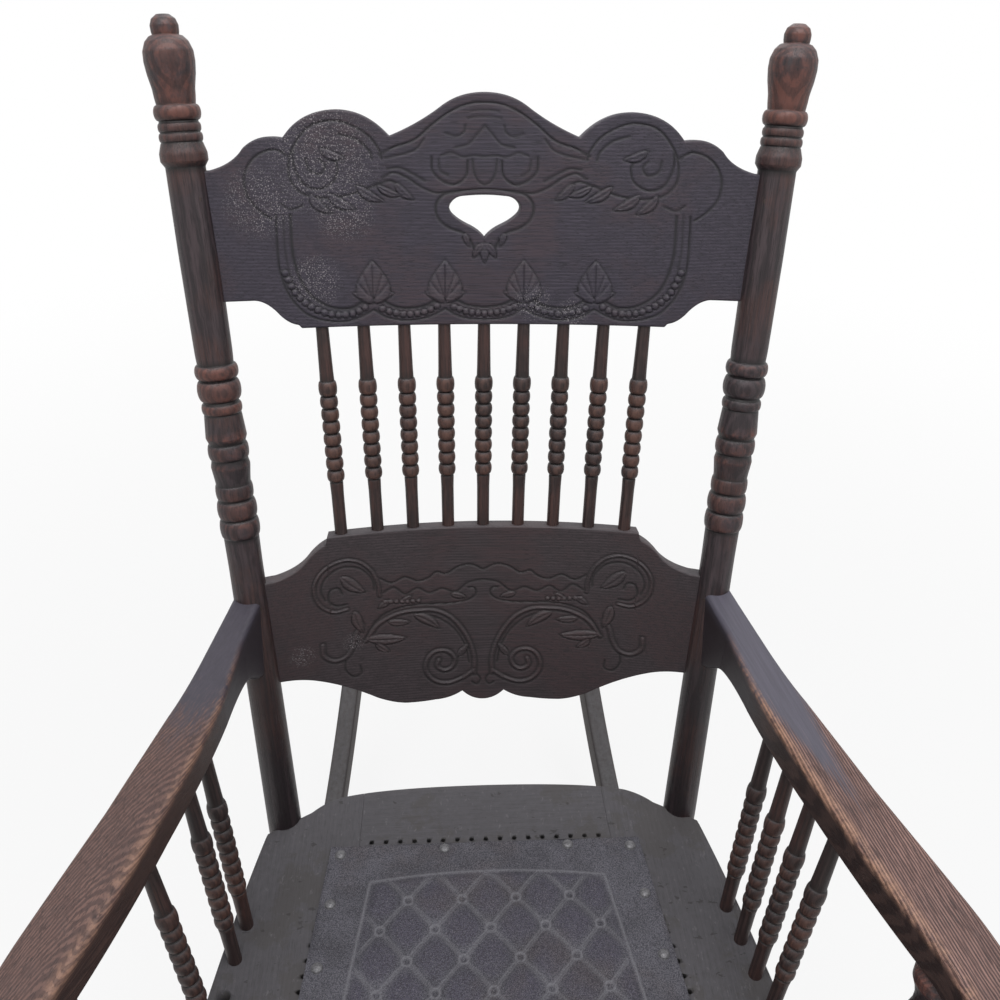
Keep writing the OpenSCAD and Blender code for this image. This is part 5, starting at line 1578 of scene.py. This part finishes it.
@dataclass
class Seat:
    """The four boards round the old cane opening."""

    half: float = 251.0
    depth: float = 446.0
    rear_w: float = 76.0
    front_w: float = 78.0
    opening_half: float = 128.0
    rear_joint: float = 118.0
    flare: float = 0.155
    corner_r: float = 24.0
    cane_d: float = 4.2
    cane_pitch: float = 13.4
    cane_inset: float = 10.0
    edge_r: float = 3.4
    inner_r: float = 1.2
    joint_gap: float = 0.25
    plank_step: float = 37.0
    plank_range: float = 71.0
    rim_shade: float = 0.8
    runs: Runs = (
        ((0.40, 0), (0.56, 0.024)), ((0.62, 0.036), (0.665, 0.062)), ((0.822, 0.115),),
        ((0.89, 0.30), (0.943, 0.56)), ((0.985, 0.70), (1.0, 0.82)), ((1.005, 0.93), (0.90, 0.972)),
        ((0.75, 0.995), (0, 1.0)))

    @property
    def opening_back(self) -> float:
        """Back edge of the opening, behind the posts."""
        return CHAIR.seat_behind - self.rear_w

    @property
    def opening_front(self) -> float:
        """Front edge of the opening."""
        return CHAIR.seat_behind - self.depth + self.front_w

    @property
    def front_half(self) -> float:
        """Half width of the opening at its front edge."""
        return self.opening_half + (self.opening_back - self.opening_front) * self.flare

    def outer(self) -> Array:
        """Right half of the seat's outline from the middle of the back to the middle of the front."""
        path = outline((0, 0), scaled(self.runs, self.half, self.depth))
        return resample(np.column_stack((path[:, 0], CHAIR.seat_behind - path[:, 1])), 1.0)

    def inner(self) -> Array:
        """Right half of the opening's edge: two arcs of one radius and the line that touches both."""
        r = self.corner_r
        rear = np.array([self.opening_half - r, self.opening_back - r])
        front = np.array([self.front_half - r, self.opening_front + r])
        slope = math.atan2(front[0] - rear[0], rear[1] - front[1])
        first = np.linspace(math.pi / 2, slope, 24)[:, None]
        last = np.linspace(slope, -math.pi / 2, 24)[:, None]
        arc = np.vstack((rear + r * np.hstack((np.cos(first), np.sin(first))),
                         front + r * np.hstack((np.cos(last), np.sin(last)))))
        path = np.vstack(((0, self.opening_back), arc, (0, self.opening_front)))
        return resample(path, 1.0)

    @staticmethod
    def stretch(path: Array, start: float, end: float) -> Array:
        """Piece of a path between two distances along it, with the path's own points between."""
        way = travel(path)
        first, last = ([np.interp(at, way, path[:, k]) for k in range(2)] for at in (start, end))
        return np.vstack((first, path[(way > start) & (way < end)], last))

    def board(self, name: str, inner: Array, outer: Array, along_x: bool) -> Piece:
        """A board between two edges with as many points: at each pair a loop from the inner edge
        across the top, round the outer edge and back below. The edges are rounded along each
        edge's own normal."""
        def normals(path: Array) -> Array:
            """Directions square to a path, from the inner edge towards the outer."""
            ahead = np.gradient(path, axis=0)
            side = unit(np.column_stack((ahead[:, 1], -ahead[:, 0])))
            return side * np.sign(np.sum(side * (outer - inner), axis=1))[:, None]

        out_n, in_n = normals(outer), normals(inner)
        turn = np.linspace(0, math.pi / 2, 6)
        t, r, q = CHAIR.seat_t, self.edge_r, self.inner_r

        def rounded(path: Array, normal: Array, radius: float, inwards: float) -> Array:
            """A quarter round at each point, from the edge up to the top."""
            shift = radius * (1 - np.cos(turn))
            flat = path[:, None, :] - inwards * normal[:, None, :] * shift[None, :, None]
            high = np.broadcast_to(-radius * (1 - np.sin(turn)), flat.shape[:2])
            return np.concatenate((flat, high[..., None]), axis=2)

        outer_top = rounded(outer, out_n, r, 1.0)
        inner_top = rounded(inner, in_n, q, -1.0)
        across = np.linspace(0, 1, 12)[1:-1][None, :, None]
        top = inner_top[:, -1:] + (outer_top[:, -1:] - inner_top[:, -1:]) * across
        outer_low, inner_low = outer_top.copy(), inner_top.copy()
        outer_low[..., 2] = -t - outer_low[..., 2]
        inner_low[..., 2] = -t - inner_low[..., 2]
        low = outer_low[:, -1:] + (inner_low[:, -1:] - outer_low[:, -1:]) * across
        local = np.concatenate((inner_top, top, outer_top[:, ::-1], outer_low, low, inner_low[:, ::-1]),
                               axis=1)
        piece = loop_skin(name + "_sawn", Surface(CHAIR.seat.place(local), local))
        piece["along_x"] = along_x
        return piece

    @staticmethod
    def pair(a: Array, b: Array, knots: Points = ((0, 0), (1, 1)), step: float = 2.0) -> list[Array]:
        """Two edges resampled to as many points, matched at knots of (share of a, share of b)."""
        ways = travel(a), travel(b)
        t = np.linspace(0, 1, int(max(way[-1] for way in ways) / step))
        edges = []
        for path, way, share in zip((a, b), ways, zip(*knots)):
            at = np.interp(t, np.linspace(0, 1, len(share)), share) * way[-1]
            edges.append(np.column_stack([np.interp(at, way, path[:, k]) for k in range(2)]))
        return edges

    def cane_places(self, side: int) -> list[tuple[float, float]]:
        """Middles of the old cane holes of the rear board (side 0) or of one side board."""
        places = []
        if side == 0:
            n = int((self.opening_half - self.corner_r / 2) / self.cane_pitch)
            places = [(i * self.cane_pitch, self.opening_back + self.cane_inset) for i in range(-n, n + 1)]
            places = [p for p in places if abs(p[0]) < self.rear_joint - self.cane_d]
        else:
            n = int((self.opening_back - self.opening_front - self.corner_r) / self.cane_pitch)
            for i in range(n + 1):
                e = self.opening_back - self.corner_r / 2 - i * self.cane_pitch
                x = self.opening_half + self.cane_inset + (self.opening_back - e) * self.flare
                places.append((side * x, e))
        return places

    def cane_cutter(self, side: int) -> Piece:
        """The old cane holes of the rear board (side 0) or of one side board, as one solid."""
        flat = np.zeros(3)
        plain = Profile(np.array([-CHAIR.seat_t - 2, -1.2, 2.0]), np.full(3, self.cane_d / 2), flat, flat)
        drills = [turned_piece("drill", plain, CHAIR.on_seat(*p), CHAIR.on_seat(*p, 1.0), 12)
                  for p in self.cane_places(side)]
        return joined("cane_cutter", drills)

    def marks(self, piece: Piece) -> None:
        """Grain along each board, wear on the outer rim, and painted shade below the rim and in the cane
        holes.
        Each board's grain is moved aside by an amount that its count of points gives."""
        local = CHAIR.seat.local(points_of(piece))
        x, e, h = local.T
        order = (1, 2, 0) if piece["along_x"] else (0, 2, 1)
        plank = self.plank_step * len(piece.data.vertices) % self.plank_range
        grain = local[:, order] + (plank, 0, 0)
        rim = nearest(np.column_stack((np.abs(x), e)), self.outer(), 9.0)
        wear = (1 - fade(rim, 1.5, 6.0)) * fade(h, -7, -1)
        # Painted shade under the outer rim.
        hollow = self.rim_shade * (1 - fade(rim, 0.0, 30.0)) * (1 - fade(h, -14, -4))
        drilled = np.array([p for side in (-1, 0, 1) for p in self.cane_places(side)])
        gap = nearest(np.column_stack((x, e)), drilled, 8.0)
        # Painted shade inside the old cane holes.
        inside = gap + 1.5 * np.clip(h, -0.6, 0) - self.cane_d / 2
        hollow = np.maximum(hollow, 1 - fade(inside, -0.2, 1.1))
        write_marks(piece.data, grain, wear, hollow, np.zeros(len(x)))

    def build(self, finish: Material, supports: ArmSupports) -> None:
        """Makes the four boards with their cane holes and the empty spindle socket. Each joint is
        looked for in the part of an edge, in points, that lies next to the middle of the seat."""
        outer, inner = self.outer(), self.inner()
        ways = [travel(path) for path in (inner, outer)]
        last_i, last_o = (way[-1] for way in ways)
        gap, part, front_joint = self.joint_gap, 200, self.front_half - self.corner_r
        rear_i, rear_o = (np.interp(self.rear_joint, path[:part, 0], way[:part])
                          for path, way in zip((inner, outer), ways))
        front_i, front_o = (np.interp(-front_joint, -path[-part:, 0], way[-part:])
                            for path, way in zip((inner, outer), ways))

        def both(path: Array) -> Array:
            """A path from the middle outwards, carried on from its mirror image."""
            return np.vstack((path[::-1] * (-1, 1), path[1:]))

        rear = self.pair(both(self.stretch(inner, 0, rear_i - gap)),
                         both(self.stretch(outer, 0, rear_o - gap)))
        pieces = {"seat_rear_board": self.board("seat_rear_board", *rear, True)}
        front = self.pair(both(self.stretch(inner, front_i + gap, last_i)[::-1]),
                          both(self.stretch(outer, front_o + gap, last_o)[::-1]))
        pieces["seat_front_board"] = self.board("seat_front_board", *front, True)
        side = self.pair(self.stretch(inner, rear_i, front_i), self.stretch(outer, rear_o, front_o),
                         ((0, 0), (0.07, 0.16), (0.84, 0.72), (0.93, 0.86), (1, 1)))
        for tag, sign in (("left", -1), ("right", 1)):
            edges = [p * (sign, 1) for p in side]
            pieces[f"seat_{tag}_board"] = self.board(f"seat_{tag}_board", *edges, False)
        for tag, cut in (("rear", 0), ("left", -1), ("right", 1)):
            cut_away(pieces[f"seat_{tag}_board"], self.cane_cutter(cut))
        cut_away(pieces["seat_left_board"], supports.socket_cutter(False))
        for node, piece in pieces.items():
            self.marks(piece)
            dress(piece, finish, "seat_boards", node)


# Leather and nails

@dataclass
class LeatherSeat:
    """The pressed leather: a plain pebbled border and a field of tufted diamonds."""

    half: float = 144.0
    depth: float = 318.0
    set_in: float = 71.0
    flare: float = 0.095
    t: float = 2.6
    lift: float = 0.3
    quilt_h: float = 3.6
    tuft_w: float = 47.7
    tuft_l: float = 56.8
    tuft_first: float = 88.6
    seam_half: float = 106.0
    seam_flare: float = 0.142
    seam_back: float = 32.0
    seam_bow: float = 8.0
    rosette_r: float = 3.9
    ridge_off: float = 1.05
    ridge_w: float = 0.6
    ridge_h: float = 0.55
    ring_h: float = 0.8
    dimple_r: float = 2.0
    dimple_h: float = 0.7
    seam_w: float = 1.2
    seam_h: float = 0.9
    wave_h: float = 0.35
    press_r: float = 7.0
    press_h: float = 0.9
    nail_d: float = 10.5
    nail_in: float = 10.0
    nail_side_shares: tuple[float, ...] = (0.03, 0.19, 0.375, 0.56, 0.75, 0.97)
    nail_row_shares: tuple[float, ...] = (-0.27, 0.53)
    pitch: float = 1.3

    @property
    def back(self) -> float:
        """Back edge of the leather, behind the posts."""
        return CHAIR.seat_behind - self.set_in

    def half_at(self, e: Array) -> Array:
        """Half width of the leather at a place along the seat."""
        return self.half + (self.back - e) * self.flare

    def nail_places(self) -> Array:
        """Places of the nails on the seat: down both sides, and two in the back and front rows."""
        sides = [(s * (float(self.half_at(e)) - self.nail_in), e) for s in (-1, 1)
                 for e in (self.back - v * self.depth for v in self.nail_side_shares)]
        rows = [(u * self.half, e) for u in self.nail_row_shares
                for e in (self.back - 0.6 * self.nail_in, self.back - self.depth + self.nail_in)]
        return np.array(sides + rows)

    def seam_gap(self, x: Array, e: Array) -> Array:
        """Distance inside the seam round the quilted field, below zero outside it."""
        rear = self.back - self.seam_back - self.seam_bow * (x / self.seam_half) ** 2
        front = self.back - self.depth + self.seam_back
        side = self.seam_half + self.seam_flare * (self.back - self.seam_back - self.seam_bow - e)
        return np.minimum(np.minimum(side - np.abs(x), rear - e), e - front)

    def height(self, x: Array, e: Array) -> tuple[Array, Array, Array]:
        """Height of the leather, its dark cells and its dusty lines at places on the seat.

        Two families of slanting lines cross at the rosettes. Between them the leather swells as
        the fourth root of the product of the squared sines of both families' phases; each line is
        a low double ridge, each rosette a ring with a dimple, and the seam a rounded bead.
        """
        ahead = self.back - self.tuft_first - e
        a, b = x / self.tuft_w + ahead / self.tuft_l, x / self.tuft_w - ahead / self.tuft_l
        slope = math.hypot(1 / self.tuft_w, 1 / self.tuft_l)
        line = np.minimum(np.abs(a - np.round(a)), np.abs(b - np.round(b))) / slope
        inside = self.seam_gap(x, e)
        field = fade(inside, 0, 9)
        swell = np.sqrt(np.abs(np.sin(math.pi * a) * np.sin(math.pi * b)))
        ka, kb = np.round(a), np.round(b)
        cx, ce = self.tuft_w * (ka + kb) / 2, ahead - self.tuft_l * (ka - kb) / 2
        from_tuft = np.hypot(x - cx, ce)
        ring = np.exp(-(from_tuft - self.rosette_r) ** 2)
        within = fade(inside, 2, 5)
        ridge = np.exp(-((line - self.ridge_off) / self.ridge_w) ** 2) * fade(from_tuft, 3, 6)
        bead = np.exp(-(inside / self.seam_w) ** 2)
        outside = fade(-inside, 0, 5)
        wave = np.sin(x / 19 + 2.1 * np.sin(e / 31)) * np.sin(e / 23 + 1.7 * np.sin(x / 27))
        dimple = np.exp(-(from_tuft / self.dimple_r) ** 2)
        height = (self.t + self.quilt_h * field * swell * fade(from_tuft, 1.5, 9)
                  + self.ridge_h * ridge * within + self.ring_h * ring * within
                  - self.dimple_h * dimple * within + self.seam_h * bead + self.wave_h * wave * outside)
        press = nearest(np.column_stack((x, e)), self.nail_places(), 16.0)
        height -= self.press_h * np.exp(-(press / self.press_r) ** 2)
        rim = np.minimum(self.half_at(e) - np.abs(x), np.minimum(self.back - e, e - self.back + self.depth))
        height -= 0.8 * (1 - fade(rim, 0, 2.5))
        cell = field * fade(swell, 0.35, 0.8)
        dusty = np.clip(0.7 * ridge * within + 0.9 * ring * within + 0.85 * bead, 0, 1)
        return np.maximum(height, 0.9), cell, dusty

    def build(self, finish: Material) -> None:
        """The leather's closed skin: loops from front to back of the seat, each over the top from
        side to side and back flat below."""
        e = np.linspace(self.back, self.back - self.depth, round(self.depth / self.pitch) + 1)
        half = self.half_at(e)[:, None]
        u = np.linspace(-1, 1, round(2 * float(half.mean()) / self.pitch) + 1)[None, :]
        x = half * u
        ee = np.repeat(e[:, None], x.shape[1], axis=1)
        height, cell, dusty = (v.reshape(x.shape) for v in self.height(x.ravel(), ee.ravel()))
        low_x = half * np.linspace(1, -1, 16)
        low_e = np.repeat(e[:, None], low_x.shape[1], axis=1)
        local = np.concatenate((np.stack((x, ee, self.lift + height), axis=-1),
                                np.stack((low_x, low_e, np.full(low_x.shape, self.lift)), axis=-1)), axis=1)
        wear, hollow = (np.hstack((v, np.zeros(low_x.shape))) for v in (cell, dusty))
        piece = loop_skin("leather_sheet", Surface(CHAIR.seat.place(local), local, wear, hollow))
        dress(piece, finish, "leather", "leather_border", "leather_quilt")

    def build_nails(self, finish: Material) -> None:
        """Dome heads with a rolled rim on thin shanks, one lathe form at every nail's place."""
        r = self.nail_d / 2
        t = np.linspace(0, math.pi / 2, 9)
        dome = np.column_stack((0.2 + 2.9 * np.sin(t), (r - 0.25) * np.cos(t) ** 0.8))[:-1]
        outline_rz = np.vstack(((-14.0, 0.5), (-13.0, 1.1), (-0.4, 1.1), (-0.5, r - 0.7), (-0.15, r - 0.1),
                                (0.15, r), dome, (3.1, 0.25)))
        flat = np.zeros(len(outline_rz))
        heads = []
        for x, e in self.nail_places():
            rubbed = flat + (1.0 if abs(x) < self.half - 2 * self.nail_in else 0.0)
            profile = Profile(outline_rz[:, 0], outline_rz[:, 1], rubbed, flat)
            foot = CHAIR.on_seat(x, e, self.lift + self.t - 0.6)
            heads.append(turned_piece("head", profile, foot, CHAIR.on_seat(x, e, 20.0), 24))
        dress(joined("nail_heads", heads), finish, "nails", "leather_nails")


# Under the seat

LEG_ROWS: Rows = (
    (0.035, 0.421), (0.09, 0.70), (0.11, 0.15, 0.66, 0.92), (0.17, 0.72), (0.24, 0.94), (0.40, 1.0),
    (0.78, 1.0), (0.81, 0.85, 0.82, 1.0), (0.86, 0.90, 0.82, 1.0), (0.92, 0.70), (0.97, 0.421))
STRETCHER_ROWS: Rows = (
    (0.02, 0.52), (0.12, 0.66), (0.16, 0.19, 0.66, 0.80), (0.22, 0.70), (0.36, 0.88),
    (0.42, 0.46, 0.86, 1.0), (0.465, 0.535, 0.84, 1.06), (0.54, 0.58, 0.86, 1.0), (0.64, 0.88),
    (0.78, 0.70), (0.81, 0.84, 0.66, 0.80), (0.88, 0.66), (0.98, 0.52))


@dataclass
class Undercarriage:
    """Front legs, stretchers and bent runners."""

    leg_d: float = 38.0
    leg_end_d: float = 16.0
    stretcher_d: float = 25.0
    stretcher_end_d: float = 12.0
    stretcher_in: float = 13.0
    side_low_z: float = 148.0
    side_high_z: float = 232.0
    front_low_z: float = 190.0
    front_high_z: float = 282.0
    rear_z: float = 190.0
    runner_edge_r: float = 4.5
    leg_sides: int = 36
    stretcher_sides: int = 28

    def build_legs(self, finish: Material) -> None:
        """Turns the two front legs."""
        low, high = (plug(self.leg_end_d, depth) for depth in (CHAIR.runner_in, CHAIR.leg_in))
        leg = Turning(LEG_ROWS, self.leg_d, low, high, self.leg_sides, finish, "front_legs")
        for side in Side:
            leg.make(side.tag + "_front_leg", side.of(CHAIR.leg_foot), side.of(CHAIR.leg_top))

    def stretcher_ends(self) -> dict[str, tuple[Array, Array]]:
        """The places on the legs' axes that each stretcher joins, by node."""
        foot, top, rear, elbow = CHAIR.leg_foot, CHAIR.leg_top, CHAIR.rear_foot, CHAIR.elbow
        ends = {}
        for name, a, b, z in (("front_stretcher_lower", foot, top, self.front_low_z),
                              ("front_stretcher_upper", foot, top, self.front_high_z),
                              ("rear_stretcher", rear, elbow, self.rear_z)):
            place = at_height(a, b, z)
            ends[name] = (Side.LEFT.of(place), place)
        for side in Side:
            for tag, z in (("lower", self.side_low_z), ("upper", self.side_high_z)):
                ends[f"{side.tag}_stretcher_{tag}"] = (
                    side.of(at_height(foot, top, z)), side.of(at_height(rear, elbow, z)))
        return ends

    def build_stretchers(self, finish: Material) -> None:
        """Turns the seven stretchers."""
        end = plug(self.stretcher_end_d, self.stretcher_in)
        kind = Turning(STRETCHER_ROWS, self.stretcher_d, end, end, self.stretcher_sides, finish,
                       "stretchers")
        for name, (a, b) in self.stretcher_ends().items():
            kind.make(name, a, b, self.leg_d / 2)

    def build_runners(self, finish: Material) -> None:
        """Bends the two runners: loops along an arc, each a rounded rectangle whose half height
        falls as a half circle past both ends."""
        mid_r, half_h, half_w = CHAIR.runner_r - CHAIR.runner_h / 2, CHAIR.runner_h / 2, CHAIR.runner_w / 2
        front = math.radians(CHAIR.runner_front_arc) * mid_r
        rear = math.radians(CHAIR.runner_rear_arc) * mid_r
        cap = half_h * np.sin(np.linspace(0.06, math.pi / 2, 14))
        way = np.concatenate((-front - cap[::-1], np.linspace(-front, rear, 180), rear + cap))
        past = np.maximum(np.maximum(-front - way, way - rear), 0)
        tall = np.sqrt(np.maximum(half_h ** 2 - past ** 2, 0.3))
        r = np.minimum(self.runner_edge_r, 0.8 * tall)[:, None]
        turn = np.linspace(0, math.pi / 2, 6)
        flat = np.linspace(-1, 1, 7)[1:-1]
        tall = tall[:, None]
        corner_w, corner_h = half_w - r * (1 - np.cos(turn)), tall - r * (1 - np.sin(turn))
        upper_w = np.hstack((corner_w, (half_w - r) * -flat, -corner_w[:, ::-1]))
        upper_h = np.hstack((corner_h, tall + 0 * flat, corner_h[:, ::-1]))
        w = np.hstack((upper_w, -upper_w))
        h = np.hstack((upper_h, -upper_h))
        angle = (way / mid_r)[:, None]
        radius = mid_r - h
        toe = math.radians(CHAIR.runner_toe)
        along, z = radius * np.sin(angle), CHAIR.runner_r - radius * np.cos(angle)
        x = CHAIR.runner_half + w * math.cos(toe) - along * math.sin(toe)
        y = CHAIR.low_y + w * math.sin(toe) + along * math.cos(toe)
        grain = np.stack((w, h, np.broadcast_to(way[:, None], w.shape)), axis=-1)
        worn = fade(-np.broadcast_to(h, w.shape), half_h - 5, half_h)
        hollow = np.zeros(w.shape)
        for side in Side:
            points = np.stack((x * side.value, y, z), axis=-1)
            name = side.tag + "_runner"
            dress(loop_skin(name + "_bent", Surface(points, grain, worn, hollow)), finish, "runners", name)


# Stage

@dataclass(frozen=True)
class Studio:
    """Camera, lamps, world and floor. Places are in metres."""

    eye: Place = (-0.0360, CHAIR.post_y * MM - 0.5984, 1.2020)
    right: Place = (0.99823, -0.05489, 0.02295)
    down: Place = (-0.01315, -0.57985, -0.81462)
    ahead: Place = (0.05802, 0.81287, -0.57954)
    lens: float = 35.19
    sensor: float = 36.0
    sky: float = 0.24
    floor_pale: Colour = (0.6, 0.6, 0.605)
    floor_half: float = 6.0
    middle: Place = (0.0, 0.0, 0.6)
    lamps: Sequence[tuple[str, Place, float, float]] = (
        ("key", (-1.3, -1.7, 2.9), 1.6, 28), ("top", (0.2, -0.4, 3.1), 2.0, 62),
        ("fill", (1.9, -1.3, 2.0), 2.0, 10), ("rim", (0.3, 1.9, 2.3), 1.6, 14))

    def camera(self) -> None:
        """The camera at the photograph's view."""
        data = bpy.data.cameras.new("camera")
        data.lens = self.lens
        data.sensor_width = self.sensor
        data.clip_end = 50
        bpy.context.scene.camera = self.aimed("camera", data, self.right, -np.array(self.down),
                                              -np.array(self.ahead), self.eye)

    @staticmethod
    def aimed(name: str, data: bpy.types.ID, *columns: Array | Place) -> Piece:
        """A new object whose matrix has the given X, Y and Z directions and place as its columns."""
        made = bpy.data.objects.new(name, data)
        matrix = np.eye(4)
        matrix[:3] = np.array(columns).T
        made.matrix_world = Matrix(matrix.tolist())
        bpy.context.scene.collection.objects.link(made)
        return made

    def lamp(self, name: str, place: Place, size: float, watts: float) -> None:
        """A soft square lamp that looks at the middle."""
        data = bpy.data.lights.new(name, "AREA")
        data.size = size
        data.energy = watts
        back = unit(np.array(place) - np.array(self.middle))
        side = unit(np.cross(np.array([0.0, 0.001, 1.0]), back))
        self.aimed(name, data, side, np.cross(back, side), back, place)

    def shown_white(self, t: Tree) -> Socket:
        """1 for rays from the camera, from gloss and through glass, and 0 for the others."""
        path = t.node("LightPath")
        seen = t.math("MAXIMUM", path.outputs["Is Camera Ray"], path.outputs["Is Glossy Ray"])
        return t.math("MAXIMUM", seen, path.outputs["Is Transmission Ray"])

    def world(self) -> None:
        """A plain white sky: weak as a lamp, and white to look at."""
        world = bpy.data.worlds.new("studio")
        world.use_nodes = True
        bpy.context.scene.world = world
        t = Tree(world.node_tree)
        background = world.node_tree.nodes["Background"]
        background.inputs["Color"].default_value = (1, 1, 1, 1)
        strength = t.plus(t.times(self.shown_white(t), 1 - self.sky), self.sky)
        t.join(strength, background, "Strength")

    def floor(self) -> None:
        """A wide pale floor that takes soft shadows and looks nearly white."""
        n = 3
        side = np.linspace(-self.floor_half / MM, self.floor_half / MM, n)
        x, y = np.meshgrid(side, side, indexing="ij")
        points = np.column_stack((x.ravel(), y.ravel(), np.zeros(n * n)))
        index = np.arange(n * n).reshape(n, n)
        corners = (index[:-1, :-1], index[1:, :-1], index[1:, 1:], index[:-1, 1:])
        quads = np.stack(corners, axis=-1).reshape(-1, 4)
        piece = mesh_from("floor", points, quads, np.zeros((0, 3), int))
        made = bpy.data.materials.new("pale_floor")
        made.use_nodes = True
        t = Tree(made.node_tree)
        shader = made.node_tree.nodes["Principled BSDF"]
        shader.inputs["Base Color"].default_value = (*self.floor_pale, 1)
        shader.inputs["Roughness"].default_value = 0.9
        glow = t.node("Emission", {"Color": (1, 1, 1, 1), "Strength": 1.0})
        place = t.place()
        away = t.node("VectorMath", {0: place}, operation="LENGTH").outputs["Value"]
        far = t.ramp(away, 0.6, 2.6, 0.85, 1.0)
        share = t.times(self.shown_white(t), far)
        blend = t.node("MixShader", {0: share, 1: shader.outputs[0], 2: glow.outputs[0]})
        t.tree.links.new(blend.outputs[0], made.node_tree.nodes["Material Output"].inputs["Surface"])
        piece.data.materials.append(made)

    def build(self) -> None:
        """Sets everything up round the chair; each lamp has a name, a place, a size and its watts."""
        self.camera()
        self.world()
        self.floor()
        for lamp in self.lamps:
            self.lamp(*lamp)
        bpy.context.scene.view_settings.view_transform = "Standard"


# The pieces' finishes, and the chair

OAKS = {
    "post": Oak((0.016, 0.011, 0.013), (0.050, 0.035, 0.039), (0.17, 0.062, 0.045), wear=0.95,
                dusting=0.25, figure=0.4, gloss=0.85, ring_scale=420, rub=0.6, depth=0.6),
    "crest": Oak((0.020, 0.017, 0.026), (0.053, 0.044, 0.061), (0.088, 0.074, 0.08), wear=0.5,
                 dusting=0.3, speckle=0.9, figure=0.28, ring_scale=380, wander=0.012, pores=0.6,
                 gloss=0.5, rub=0.45, ruddy=(0.056, 0.034, 0.038)),
    "slat": Oak((0.023, 0.018, 0.020), (0.055, 0.041, 0.046), (0.085, 0.062, 0.06), wear=0.5,
                dusting=0.3, speckle=0.7, figure=0.25, ring_scale=380, wander=0.012, pores=0.45,
                gloss=0.47, rub=0.5, ruddy=(0.050, 0.027, 0.029)),
    "spindle": Oak((0.015, 0.009, 0.009), (0.050, 0.031, 0.029), (0.15, 0.074, 0.054), wear=0.8,
                   dusting=0.45, figure=0.35, ring_scale=420, gloss=0.7, rub=0.6),
    # The arms' colours differ partly through light: the right arm's lighter browns and lighter smooth zone
    # are partly painted sheen and reflection.
    "right_arm": Oak((0.050, 0.023, 0.020), (0.24, 0.138, 0.115), (0.40, 0.225, 0.15), wear=0.9,
                     dusting=0.1, figure=0.85, ring_scale=476, wander=0.004, pores=0.7, gloss=0.6,
                     depth=0.6, smooth=(0.058, 0.054, 0.072)),
    "left_arm": Oak((0.055, 0.028, 0.024), (0.14, 0.077, 0.063), (0.26, 0.145, 0.10), wear=0.9,
                    dusting=0.1, figure=0.62, ring_scale=640, wander=0.006, pores=0.7, gloss=0.6,
                    depth=0.6, smooth=(0.034, 0.030, 0.041)),
    "seat": Oak((0.038, 0.035, 0.038), (0.075, 0.070, 0.078), (0.10, 0.09, 0.09), wear=0.4,
                dusting=0.6, dust=(0.088, 0.085, 0.093), figure=0.12, pores=0.6, gloss=0.25,
                speckle=0.25, blotch=0.8),
    "runner": Oak((0.03, 0.024, 0.024), (0.07, 0.055, 0.053), (0.12, 0.085, 0.07), wear=0.5,
                  dusting=0.85, dust=(0.13, 0.128, 0.134), figure=0.35, gloss=0.35),
    "peg": Oak((0.03, 0.02, 0.017), (0.07, 0.045, 0.035), (0.12, 0.07, 0.05), wear=0.2)}


def dress_fasteners(shop: Workshop) -> None:
    """Gives the nodes that stay as they are their own finishes."""
    steel = shop.metal("screw_steel", Metal(plain=(0.22, 0.21, 0.2), scale=900.0))
    peg = shop.oak("peg_oak", OAKS["peg"])
    for node, finish in (("arm_screws", steel), ("seat_screws", steel), ("board_pins", peg),
                         ("runner_pins", peg), ("seat_dowels", peg)):
        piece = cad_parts[node]
        piece.data.materials.clear()
        piece.data.materials.append(finish)
        LOG.info("%s keeps its node's shape", node)


def main() -> None:
    """Builds the stage and every part of the chair, from the posts down to the runners."""
    logging.basicConfig(level=logging.INFO, format="%(name)s %(message)s")
    Studio().build()
    shop = Workshop()
    post, crest, slat, bead, seat, under = (
        shop.oak(name + "_oak", OAKS[name])
        for name in ("post", "crest", "slat", "spindle", "seat", "runner"))
    for side in Side:
        BackPost(side).build(post)
    CREST.build(crest, [hand_hold_cutter()])
    SLAT.build(slat)
    BackSpindles().build(bead)
    supports = ArmSupports()
    supports.build(bead, post)
    for side in Side:
        Arm(side).build(shop.oak(side.tag + "_arm_oak", OAKS[side.tag + "_arm"]), supports)
    Seat().build(seat, supports)
    leather = LeatherSeat()
    leather.build(shop.hide("pressed_leather", Hide()))
    leather.build_nails(shop.metal("nail_steel", Metal()))
    below = Undercarriage()
    below.build_legs(post)
    below.build_stretchers(post)
    below.build_runners(under)
    dress_fasteners(shop)


if __name__ == "__main__":
    main()
